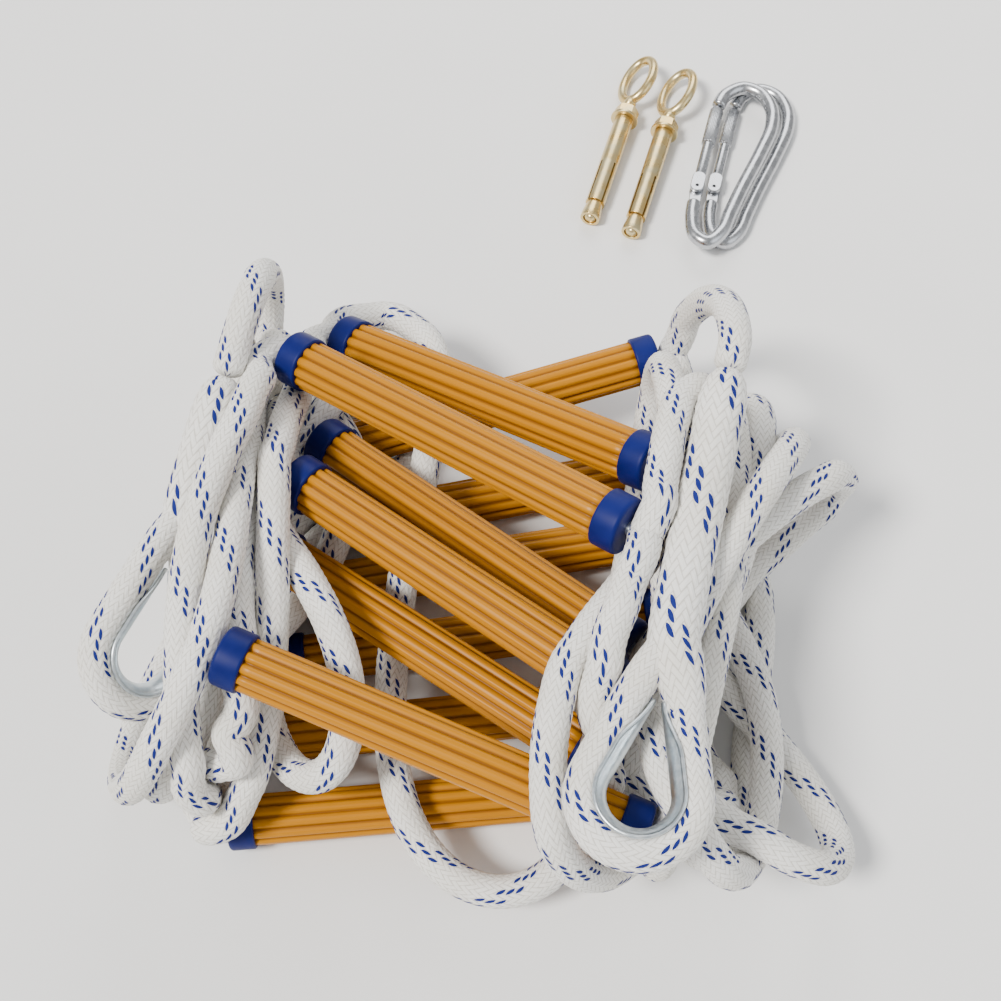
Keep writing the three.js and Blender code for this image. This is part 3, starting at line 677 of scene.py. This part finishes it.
def new_material(name, colour, roughness, metallic=0.0):
    material = bpy.data.materials.new(name)
    material.use_nodes = True
    tree = material.node_tree
    shader = tree.nodes["Principled BSDF"]
    shader.inputs["Base Color"].default_value = (*colour, 1)
    shader.inputs["Roughness"].default_value = roughness
    shader.inputs["Metallic"].default_value = metallic
    return material, tree, shader


def math_node(tree, operation, *values):
    """A math node; its values are numbers or the outputs of other nodes."""
    node = tree.nodes.new("ShaderNodeMath")
    node.operation = operation
    for socket, value in zip(node.inputs, values):
        if isinstance(value, (int, float)):
            socket.default_value = value
        else:
            tree.links.new(value, socket)
    return node.outputs[0]


def mix_colours(tree, factor, first, second):
    node = tree.nodes.new("ShaderNodeMix")
    node.data_type = "RGBA"
    factor_in, first_in, second_in = node.inputs[0], node.inputs[6], node.inputs[7]
    for socket, value in ((factor_in, factor), (first_in, first), (second_in, second)):
        if isinstance(value, tuple):
            socket.default_value = (*value, 1)
        elif isinstance(value, (int, float)):
            socket.default_value = value
        else:
            tree.links.new(value, socket)
    return node.outputs[2]


def noise(tree, scale, detail, stretch=(1, 1, 1)):
    """Noise over the piece's own coordinates, stretched along its axes."""
    where = tree.nodes.new("ShaderNodeTexCoord")
    mapping = tree.nodes.new("ShaderNodeMapping")
    mapping.inputs["Scale"].default_value = stretch
    tree.links.new(where.outputs["Object"], mapping.inputs["Vector"])
    node = tree.nodes.new("ShaderNodeTexNoise")
    node.inputs["Scale"].default_value = scale
    node.inputs["Detail"].default_value = detail
    tree.links.new(mapping.outputs["Vector"], node.inputs["Vector"])
    return node.outputs["Fac"]


def spread(tree, value, low, high, new_low, new_high):
    node = tree.nodes.new("ShaderNodeMapRange")
    for socket, number in zip(node.inputs[1:5], (low, high, new_low, new_high)):
        socket.default_value = number
    tree.links.new(value, node.inputs[0])
    return node.outputs[0]


def add_bump(tree, shader, height, distance, strength=1.0):
    bump = tree.nodes.new("ShaderNodeBump")
    bump.inputs["Distance"].default_value = distance
    bump.inputs["Strength"].default_value = strength
    tree.links.new(height, bump.inputs["Height"])
    tree.links.new(bump.outputs["Normal"], shader.inputs["Normal"])


def plain_look(name, colour, other, roughness, metallic=0.0, scale=60, stretch=(1, 1, 1), bump=0.0, shine=0.5):
    """Two near colours and two near roughnesses, mixed by noise."""
    material, tree, shader = new_material(name, colour, roughness, metallic)
    shader.inputs["Specular IOR Level"].default_value = shine
    grain = spread(tree, noise(tree, scale, 4, stretch), 0.35, 0.65, 0, 1)
    tree.links.new(mix_colours(tree, grain, colour, other), shader.inputs["Base Color"])
    tree.links.new(spread(tree, grain, 0, 1, roughness, roughness + 0.12), shader.inputs["Roughness"])
    if bump:
        add_bump(tree, shader, grain, bump)
    return material


def strand_cells(tree):
    """Which strand lies on top at each place, and how far across it, as braid_relief() has them."""
    where = tree.nodes.new("ShaderNodeUVMap")
    where.uv_map = "braid"
    split = tree.nodes.new("ShaderNodeSeparateXYZ")
    tree.links.new(where.outputs[0], split.inputs[0])
    around, along = split.outputs[0], split.outputs[1]
    a = math_node(tree, "MULTIPLY", math_node(tree, "ADD", around, along), STRANDS)
    b = math_node(tree, "MULTIPLY", math_node(tree, "SUBTRACT", around, along), STRANDS)
    k, m = math_node(tree, "FLOOR", a), math_node(tree, "FLOOR", b)
    across_a = math_node(tree, "SUBTRACT", math_node(tree, "SUBTRACT", a, k), 0.5)
    across_b = math_node(tree, "SUBTRACT", math_node(tree, "SUBTRACT", b, m), 0.5)
    cell = math_node(tree, "FLOORED_MODULO", math_node(tree, "ADD", k, m), 4)
    first_way = math_node(tree, "LESS_THAN", cell, 1.5)
    other_way = math_node(tree, "SUBTRACT", 1.0, first_way)
    across = math_node(tree, "ADD", math_node(tree, "MULTIPLY", across_a, first_way),
                       math_node(tree, "MULTIPLY", across_b, other_way))
    return k, b, across_a, across, first_way


def blue_dashes(tree, k, b, across_a, first_way):
    """1 on the blue strands of one way, where they lie on top, narrowing to both ends of the dash."""
    half_width = 0.38
    group = math_node(tree, "FLOORED_MODULO", k, TRACER_EVERY)
    traced = math_node(tree, "LESS_THAN", group, TRACER_COUNT - 0.5)
    phase = math_node(tree, "FLOORED_MODULO", math_node(tree, "ADD", k, b), 4)
    bulge = math_node(tree, "SINE", math_node(tree, "MULTIPLY", phase, math.pi / 2))
    reach = math_node(tree, "MULTIPLY", math_node(tree, "POWER", bulge, 0.6), half_width)
    inner = math_node(tree, "LESS_THAN", math_node(tree, "ABSOLUTE", across_a), reach)
    return math_node(tree, "MULTIPLY", math_node(tree, "MULTIPLY", first_way, traced), inner)


def braid_look():
    """White yarn with painted shade between the strands, a little worn, with the blue tracers."""
    material, tree, shader = new_material("braid", (0.8, 0.79, 0.76), 0.8)
    shader.inputs["Specular IOR Level"].default_value = 0.2
    k, b, across_a, across, first_way = strand_cells(tree)
    blue = blue_dashes(tree, k, b, across_a, first_way)
    # painted shade: the colour darkens towards (0.42, 0.39, 0.34) between the strands, where shade falls
    edge = spread(tree, math_node(tree, "ABSOLUTE", across), 0.3, 0.5, 0, 0.75)
    patches = spread(tree, noise(tree, 25, 3), 0.4, 0.7, 0, 0.55)
    white = mix_colours(tree, patches, (0.86, 0.85, 0.82), (0.72, 0.69, 0.61))
    white = mix_colours(tree, edge, white, (0.42, 0.39, 0.34))
    ink = mix_colours(tree, noise(tree, 700, 2), (0.005, 0.01, 0.12), (0.012, 0.025, 0.2))
    tree.links.new(mix_colours(tree, blue, white, ink), shader.inputs["Base Color"])
    yarns = math_node(tree, "COSINE", math_node(tree, "MULTIPLY", across, 6 * math.pi))
    fibres = math_node(tree, "ADD", math_node(tree, "MULTIPLY", yarns, 0.5), noise(tree, 2500, 2))
    add_bump(tree, shader, fibres, 0.00012, 0.8)
    return material


def rung_look():
    """Golden yellow with a fine lengthwise grain, and painted shade down in the grooves."""
    material, tree, shader = new_material("rung_yellow", (0.44, 0.17, 0.0), 0.36)
    shader.inputs["Specular IOR Level"].default_value = 0.2
    where = tree.nodes.new("ShaderNodeTexCoord")
    split = tree.nodes.new("ShaderNodeSeparateXYZ")
    tree.links.new(where.outputs["Object"], split.inputs[0])
    turn = math_node(tree, "ARCTAN2", split.outputs[0], split.outputs[2])
    wave = math_node(tree, "ABSOLUTE", math_node(tree, "SINE", math_node(tree, "MULTIPLY", turn, RIBS / 2)))
    # painted shade: the colour darkens towards (0.15, 0.045, 0.0) down in the grooves between the ribs
    painted_groove_shade = spread(tree, wave, 0.86, 1.0, 0.0, 0.85)
    grain = noise(tree, 120, 4, (1, 0.05, 1))
    yellow = mix_colours(tree, grain, (0.4, 0.155, 0.0), (0.5, 0.2, 0.0))
    tree.links.new(mix_colours(tree, painted_groove_shade, yellow, (0.15, 0.045, 0.0)), shader.inputs["Base Color"])
    add_bump(tree, shader, grain, 0.00006)
    return material


LOOKS = {
    "rope": braid_look(),
    "rung_yellow": rung_look(),
    "collar_blue": plain_look("collar_blue", (0.002, 0.006, 0.09), (0.004, 0.01, 0.12), 0.4, bump=0.00003,
                              shine=0.15),
    "galvanised_steel": plain_look("galvanised_steel", (0.55, 0.62, 0.67), (0.7, 0.75, 0.78), 0.28, 0.95,
                                   scale=300, bump=0.00004),
    "gold_zinc_steel": plain_look("gold_zinc_steel", (0.74, 0.52, 0.2), (0.66, 0.56, 0.32), 0.24, 1.0,
                                  scale=90, bump=0.00003),
    "hook_steel": plain_look("hook_steel", (0.42, 0.43, 0.45), (0.52, 0.53, 0.55), 0.2, 1.0, scale=160,
                             bump=0.00002),
}


# ---- ropes ----


def strand_profile(x):
    return np.sqrt(1 - 0.9 * (2 * x) ** 2)


def braid_relief(u, v):
    """How high the braid stands at u turns round and v turns along, from 0 to 1."""
    a, b = STRANDS * (u + v), STRANDS * (u - v)
    k, m = np.floor(a), np.floor(b)
    one_way = strand_profile(a - k - 0.5) * np.sin(np.pi / 2 * np.mod(k + b, 4))
    other_way = strand_profile(b - m - 0.5) * np.sin(np.pi / 2 * (np.mod(a + m, 4) - 2))
    return np.maximum(one_way, other_way)


def braided(name, line, radius_at=None):
    """A braided rope round a line, with rounded ends. radius_at gives its radius along its run."""
    rounding, least = 0.006, 0.003
    total = length_of(line)
    middle = evenly(line, round(total / (BRAID_PITCH / AROUND)))
    run = np.linspace(0, total, len(middle))
    radii = radius_at(run) if radius_at else np.full(len(middle), ROPE_R)
    turns = np.concatenate([[0], np.cumsum(np.diff(run) * ROPE_R / (radii[1:] * BRAID_PITCH))])
    from_end = np.clip(np.minimum(run, total - run) / rounding, least, 1)
    closing = np.sqrt(1 - (1 - from_end) ** 2)
    u = np.arange(AROUND) / AROUND
    sunk = RELIEF / ROPE_R * (1 - braid_relief(u[None], turns[:, None]))
    r = (radii * closing)[:, None] * (1 - sunk)
    _, up, across = frames_along(middle, (0, 0.1, 1))
    a = 2 * np.pi * u[None, :, None]
    grid = middle[:, None] + r[..., None] * (np.cos(a) * up[:, None] + np.sin(a) * across[:, None])
    rows = len(middle)
    faces = grid_faces(rows, AROUND) + cap_faces(rows, AROUND)
    left, low = np.meshgrid(u, turns[:-1])
    right, high = left + 1 / AROUND, np.repeat(turns[1:, None], AROUND, 1)
    corners = np.stack([left, low, right, low, right, high, left, high], -1).reshape(-1, 2)
    cap_corners = np.zeros((2 * AROUND, 2))
    piece = link_mesh(name, grid.reshape(-1, 3), faces, np.vstack([corners, cap_corners]))
    return piece, middle


def make_main_rope(side):
    line = rope_line(side)
    rope, middle = braided(f"rope_{side}_braid", line)
    finish_piece(rope, LOOKS["rope"], "ladder", "rope", f"rope_{side}")


def splice_radius(length):
    """Thickens from the rope's radius, stays fat, and narrows onto one leg of the loop."""
    narrow_over, step_down = 0.034, SPLICE_R - ROPE_R - 0.0004

    def radius(run):
        thick = ROPE_R + (SPLICE_R - ROPE_R) * np.sin(np.pi / 2 * np.clip(run / SPLICE_TAPER, 0, 1))
        share = np.clip((run - length) / narrow_over + 1, 0, 1)
        return thick - step_down * share * share * (3 - 2 * share)

    return radius


def make_eye(side):
    _, back, _, through, length = eye_frame(side)
    body, node = f"upper_eye_{side}", f"eye_{side}"
    loop = smooth_curve(eye_route(side, 28) - ORIGIN, 8)
    cord, middle = braided(f"eye_{side}_braid", loop)
    onto_leg = [(0.0015, 0.086), (0.0055, 0.075), (0.010, 0.064), (0.0135, 0.054), (0.0165, 0.045)]
    flat = [(0, length - 0.002), (0, 0.130), (0, 0.100), *onto_leg]
    run_in = smooth_curve(in_eye(side, flat) - ORIGIN, 12)
    splice, _ = braided(f"splice_{side}", run_in, splice_radius(length_of(run_in)))
    thimble = make_thimble(side, through)
    for piece in (cord, splice):
        finish_piece(piece, LOOKS["rope"], None, "rope", node)
        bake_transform(piece)
    finish_piece(thimble, LOOKS["galvanised_steel"], body, "galvanised_steel", f"thimble_{side}")


def arc(radius, first, last, count, middle=(0, 0)):
    a = np.linspace(first, last, count)
    return np.stack([radius * np.sin(a), -radius * np.cos(a)], 1) + middle


def thimble_section(reach):
    """Outline of a pipe's wall with rolled lips, as far round the rope as reach at either side."""
    inner, lip = ROPE_R + 2 * GAP, 0.0012
    outer = inner + THIMBLE_WALL
    edges = arc((inner + outer) / 2, reach, -reach, 2)
    return np.vstack([
        arc(outer, -reach, reach, 17), arc(lip, reach, reach + math.pi, 9, edges[0]),
        arc(inner, reach, -reach, 17), arc(lip, math.pi - reach, 2 * math.pi - reach, 9, edges[1]),
    ])


def make_thimble(side, through):
    """Wrapped round the inner side of the rope's loop, with its flanges narrowing to points in the throat."""
    arc = loop_arc(48)
    x, y = arc[-1]
    leg_end = y + (x - THIMBLE_END) / (x - 0.010) * (THROAT - 0.006 - y)
    share = np.linspace(1, 0, 16)[:-1]
    leg = arc[-1] + share[:, None] * (np.array((THIMBLE_END, leg_end)) - arc[-1])
    flat = np.vstack([leg * (-1, 1), arc, leg[::-1]])
    to_tip = np.concatenate([share, np.zeros(len(arc)), share[::-1]])
    narrowing = np.clip((to_tip - 0.35) / 0.65, 0, 1)
    wide, narrow = math.radians(58), math.radians(14)
    outlines = [thimble_section(wide + (narrow - wide) * n * n * (3 - 2 * n)) for n in narrowing]
    return sweep(f"thimble_{side}_shell", in_eye(side, flat) - ORIGIN, np.array(outlines), through)


# ---- rungs ----


def rung_matrix(rung):
    """Maps +Y onto the rung's length and +Z as upright as it can be."""
    start, along = rung
    level = unit(np.cross(along, (0, 0, 1)))
    up = np.cross(level, along)
    matrix = np.eye(4)
    matrix[:3, 0], matrix[:3, 1], matrix[:3, 2], matrix[:3, 3] = level, along, up, start - ORIGIN
    return Matrix(matrix.tolist())


def ribbed_bar(name):
    depth, columns, inset = 0.0019, 216, 0.012
    radius = RIB_R - depth * np.abs(np.sin(RIBS / 2 * angles(columns))) ** 4
    return lathe(name, radius, np.linspace(inset, RUNG_LENGTH - inset, 24), columns)


def make_rung(number, rung):
    matrix = rung_matrix(rung)
    far = matrix @ Matrix.Translation((0, RUNG_LENGTH, 0)) @ Matrix.Rotation(math.pi, 4, "X")
    bar = ribbed_bar(f"rung_{number}_bar")
    bar.matrix_world = matrix
    finish_piece(bar, LOOKS["rung_yellow"], "ladder", "rung_yellow", f"rung_{number}")
    soft = 0.003
    cap_outline = rounded([
        (0, 0), (COLLAR_R, 0), (COLLAR_R, COLLAR_LENGTH), (RIB_R - 0.0015, COLLAR_LENGTH),
        (RIB_R - 0.0015, COLLAR_LENGTH - 0.002), (0, COLLAR_LENGTH - 0.002),
    ], soft, 6)
    pin_outline = rounded([(0, -0.018), (0.004, -0.018), (0.004, 0.001), (0, 0.001)], 0.0005)
    for end, placed in (("left", matrix), ("right", far)):
        collar = turned(f"collar_{number}_{end}_cap", cap_outline, 72)
        collar.matrix_world = placed
        finish_piece(collar, LOOKS["collar_blue"], "ladder", "collar_blue", f"collar_{number}_{end}")
        pin = turned(f"pin_{number}_{end}", pin_outline, 24)
        pin.matrix_world = placed
        finish_piece(pin, LOOKS["galvanised_steel"], "ladder", "galvanised_steel")


# ---- expansion eye bolts, built along +X from the middle of the eye ----


ALONG_X = Matrix.Rotation(-math.pi / 2, 4, "Z")


def bolt_matrices(x, y):
    """Where the bolt lies, and the same with its eye rolled onto the floor."""
    drop = math.atan2(WASHER_R - SLEEVE_R, CONE_START + CONE_LENGTH - WASHER_START)
    height = WASHER_R / math.cos(drop) + WASHER_START * math.tan(drop) + 0.0001
    roll = math.asin((height - EYE_WIRE_R) / EYE_HALF_WIDTH)
    lies = Matrix.Translation(Vector((x, y, height)) - Vector(ORIGIN))
    lies = lies @ Matrix.Rotation(math.radians(BOLT_TURN), 4, "Z") @ Matrix.Rotation(drop, 4, "Y")
    return lies, lies @ Matrix.Rotation(roll, 4, "X")


def threaded_rod(name, start, end):
    """A rod along +Y with a real helical thread."""
    columns, depth, end_depth, steps_per_turn = 40, 0.0008, 0.0006, 8
    rows = round((end - start) / THREAD_PITCH * steps_per_turn)
    heights = np.linspace(start, end, rows + 1)
    turn = heights[:, None] / THREAD_PITCH - angles(columns) / (2 * np.pi)
    ridge = np.abs(2 * (turn - np.floor(turn)) - 1)
    ease = np.clip(np.minimum(heights - start, end - heights) / THREAD_PITCH, 0, 1)[:, None]
    radius = SHANK_R - depth * (1 - ridge) - end_depth * (1 - ease)
    return lathe(name, radius, heights, columns)


def bolt_eye(name):
    """The bent eye, its neck and the thread behind it, and the rod's end in the cone."""
    a = angles(96)
    loop = np.stack([EYE_HALF_LENGTH * np.cos(a), EYE_HALF_WIDTH * np.sin(a), 0 * a], 1)
    eye = sweep(name, loop, circle(EYE_WIRE_R, 28), closed=True)
    neck_end, rod_end = 0.028, CONE_START + CONE_LENGTH - 0.0005
    neck = turned("neck", rounded([
        (0, EYE_HALF_LENGTH - 0.002), (0.0036, EYE_HALF_LENGTH - 0.001), (SHANK_R, EYE_HALF_LENGTH + 0.004),
        (SHANK_R, neck_end), (0.0044, neck_end + 0.0006), (0, neck_end + 0.0006),
    ], 0.002), 48)
    rod = threaded_rod("rod", neck_end, rod_end)
    neck.data.transform(ALONG_X)
    rod.data.transform(ALONG_X)
    return joined(name, [eye, neck, rod])


def hexagon_nut(name):
    """A hexagonal nut along +X with chamfered corners."""
    columns, chamfer = 144, 0.0011
    a = angles(columns)
    flat = NUT_R * math.cos(math.pi / 6)
    hexagon = flat / np.cos(np.mod(a, math.pi / 3) - math.pi / 6)
    heights = np.concatenate([np.linspace(0, chamfer, 10), np.linspace(NUT_LENGTH - chamfer, NUT_LENGTH, 10)])
    from_end = np.minimum(heights, NUT_LENGTH - heights)
    cone = flat + 0.0001 + from_end * 1.73
    outer = np.minimum(hexagon[None], cone[:, None])
    inner = np.broadcast_to(BORE_R, outer.shape)
    radius = np.vstack([outer, inner])
    along = np.concatenate([heights, heights[::-1]])[:, None] + NUT_START
    grid = np.stack([np.broadcast_to(along, radius.shape), radius * np.cos(a), radius * np.sin(a)], -1)
    return link_mesh(name, grid.reshape(-1, 3), grid_faces(len(radius), columns, True), smooth=False)


def ring_along_x(name, outline, rounding, segments=64):
    """A ring along +X from the closed outline of its section, with rounded corners."""
    outline = [np.array(p, float) for p in outline]
    start = (outline[-1] + outline[0]) / 2
    closed = rounded([start, *outline, start], rounding)[:-1]
    ring = turned(name, closed, segments, closed=True)
    ring.data.transform(ALONG_X)
    return ring


def split_sleeve(name):
    """A sleeve that is slit into four from its far end, where the cone spreads it."""
    split_start = SLEEVE_START + SLEEVE_LENGTH - SLOT_LENGTH
    whole = ring_along_x(name, [
        (BORE_R, SLEEVE_START), (SLEEVE_R, SLEEVE_START), (SLEEVE_R, split_start), (BORE_R, split_start),
    ], 0.0004)
    parts = [whole]
    path = [(x, 0, 0) for x in (split_start - 0.0006, split_start + 0.010, SLEEVE_START + SLEEVE_LENGTH)]
    for quarter in range(4):
        first = math.pi / 4 + quarter * math.pi / 2
        outer_slit, inner_slit = SLOT_WIDTH / 2 / SLEEVE_R, SLOT_WIDTH / 2 / BORE_R
        outer = np.linspace(first + outer_slit, first + math.pi / 2 - outer_slit, 15)
        inner = np.linspace(first + math.pi / 2 - inner_slit, first + inner_slit, 15)
        outline = [(SLEEVE_R * math.cos(a), SLEEVE_R * math.sin(a)) for a in outer]
        outline += [(BORE_R * math.cos(a), BORE_R * math.sin(a)) for a in inner]
        parts.append(sweep(f"stave_{quarter}", path, outline, smooth=False))
    return joined(name, parts)


def make_bolt(index, place_in_plan):
    lies, rolled = bolt_matrices(*place_in_plan)
    name = f"bolt_{index}"
    cone_end = CONE_START + CONE_LENGTH
    washer_end = WASHER_START + WASHER_LENGTH
    pieces = [
        ("eye", name, rolled, bolt_eye(f"{name}_eye_and_thread")),
        ("nut", f"{name}_nut", lies, hexagon_nut(f"{name}_hexagon_nut")),
        ("washer", f"{name}_washer", lies, ring_along_x(f"{name}_round_washer", [
            (BORE_R, WASHER_START), (WASHER_R, WASHER_START), (WASHER_R, washer_end), (BORE_R, washer_end),
        ], 0.0005)),
        ("sleeve", name, lies, split_sleeve(f"{name}_split_sleeve")),
        ("cone", name, lies, ring_along_x(f"{name}_cone_nut", [
            (BORE_R, CONE_START), (BORE_R + 0.0009, CONE_START), (SLEEVE_R, cone_end - 0.004),
            (SLEEVE_R, cone_end), (BORE_R, cone_end),
        ], 0.0005)),
    ]
    for part, body, matrix, piece in pieces:
        piece.data.transform(matrix)
        finish_piece(piece, LOOKS["gold_zinc_steel"], body, "gold_zinc_steel", f"{name}_{part}")


# ---- snap hooks, built flat along +Y from the bottom end ----

def domed(radius, points, rounding):
    """Radii for a bar whose ends are rounded over a length."""
    run = np.concatenate([[0], np.cumsum(np.linalg.norm(np.diff(points, axis=0), axis=1))])
    from_end = np.clip(np.minimum(run, run[-1] - run) / rounding, 0.02, 1)
    return radius * np.sqrt(1 - (1 - from_end) ** 2)


def bar_along(name, points, radius, rounding, sides=32, knurls=0, knurl_depth=0.0):
    """A round bar along points, with rounded ends and lengthwise knurls if it has any."""
    points = np.asarray(points, float)
    radii = domed(radius, points, rounding)
    a = angles(sides)
    shape = 1 - knurl_depth / radius * (0.5 - 0.5 * np.cos(knurls * a))
    outline = np.stack([np.cos(a) * shape, np.sin(a) * shape], 1)
    return sweep(name, points, radii[:, None, None] * outline)


def line_between(first, last, rounding, steps=8):
    """Points from first to last that lie closer together near the ends."""
    first, last = np.array((*first, 0.0)), np.array((*last, 0.0))
    length = np.linalg.norm(last - first)
    near = rounding * (1 - np.cos(np.linspace(0, math.pi / 2, steps)))
    at = np.concatenate([near, length - near[::-1]])
    return first + (at / length)[:, None] * (last - first)


def plate(name, first, last, half_width, low, high, edge=0.0005):
    """A flat link with round ends, between two heights, with softened edges."""
    first, last = np.array(first, float), np.array(last, float)
    along = unit(last - first)
    side = np.array((-along[1], along[0]))
    a = np.linspace(-math.pi / 2, math.pi / 2, 20)
    sets = []
    for inset, z in ((edge, low), (0, low + edge), (0, high - edge), (edge, high)):
        w = half_width - inset
        tip = [last + w * (math.cos(t) * along + math.sin(t) * side) for t in a]
        tail = [first - w * (math.cos(t) * along + math.sin(t) * side) for t in a]
        sets.append([(*p, z) for p in tip + tail])
    grid = np.array(sets)
    rows, columns = grid.shape[:2]
    faces = grid_faces(rows, columns) + cap_faces(rows, columns)
    return link_mesh(name, grid.reshape(-1, 3), faces, smooth=False)


def hook_body(name):
    knots = np.array([(*p, 0.0) for p in HOOK_BEND])
    curve = smooth_curve(knots, 16)
    wire = bar_along(name, evenly(curve, 260), WIRE_R, 0.0025, 32)
    half = TONGUE_THICKNESS / 2
    tongue = plate("tongue", (GATE_PIVOT[0], GATE_PIVOT[1] - 0.014), GATE_PIVOT, 0.0045, -half, half)
    return joined(name, [wire, tongue])


def hook_gate(name):
    pivot, tip = np.array(GATE_PIVOT), np.array(GATE_TIP)
    along = unit(tip - pivot)
    bar = bar_along(name, line_between(pivot + along * 0.0053, tip, 0.0012), GATE_R, 0.0012)
    grip = bar_along("grip", line_between(tip - along * GRIP_LENGTH, tip - along * 0.002, 0.001), GRIP_R, 0.001,
                     120, 30, 0.0003)
    cheek_low = TONGUE_THICKNESS / 2 + GAP
    parts = [bar, grip]
    for low, high in ((-WIRE_R, -cheek_low), (cheek_low, WIRE_R)):
        parts.append(plate("cheek", pivot, pivot + along * 0.009, KNUCKLE, low, high))
    return joined(name, parts)


def hook_rivet(name):
    dome = rounded([(0, -WIRE_R), (RIVET_R, -WIRE_R), (RIVET_R, WIRE_R), (0, WIRE_R)], 0.0006)
    rivet = turned(name, dome, 32)
    rivet.data.transform(Matrix.Translation((*GATE_PIVOT, 0)) @ Matrix.Rotation(math.pi / 2, 4, "X"))
    return rivet


def make_hook(index, x, y, height):
    matrix = Matrix.Translation(Vector((x, y, height)) - Vector(ORIGIN))
    matrix = matrix @ Matrix.Rotation(math.radians(HOOK_TURN), 4, "Z")
    name = f"hook_{index}"
    for part, body, piece in (
        ("body", name, hook_body(f"{name}_bent_wire")),
        ("gate", f"{name}_gate", hook_gate(f"{name}_sprung_gate")),
        ("rivet", name, hook_rivet(f"{name}_gate_rivet")),
    ):
        piece.matrix_world = matrix
        finish_piece(piece, LOOKS["hook_steel"], body, "hook_steel", f"{name}_{part}")


# ---- the scene ----


def make_floor():
    size = 30.0
    floor = link_mesh("floor", [(-size, -size, 0), (size, -size, 0), (size, size, 0), (-size, size, 0)],
                      [[0, 1, 2, 3]])
    floor.location.z = -0.0002
    floor.data.materials.append(plain_look("floor", (0.82, 0.82, 0.82), (0.85, 0.85, 0.85), 0.7, scale=3))


make_camera()
make_lights()
make_floor()
for rope_side in ("left", "right"):
    make_main_rope(rope_side)
    make_eye(rope_side)
for rung_index, rung_placed in enumerate(FRAMES):
    make_rung(f"{rung_index + 1:02d}", rung_placed)
for bolt_index, bolt_place in enumerate(BOLTS):
    make_bolt(bolt_index + 1, bolt_place)
for hook_index, hook_place in enumerate(HOOKS):
    make_hook(hook_index + 1, *hook_place)
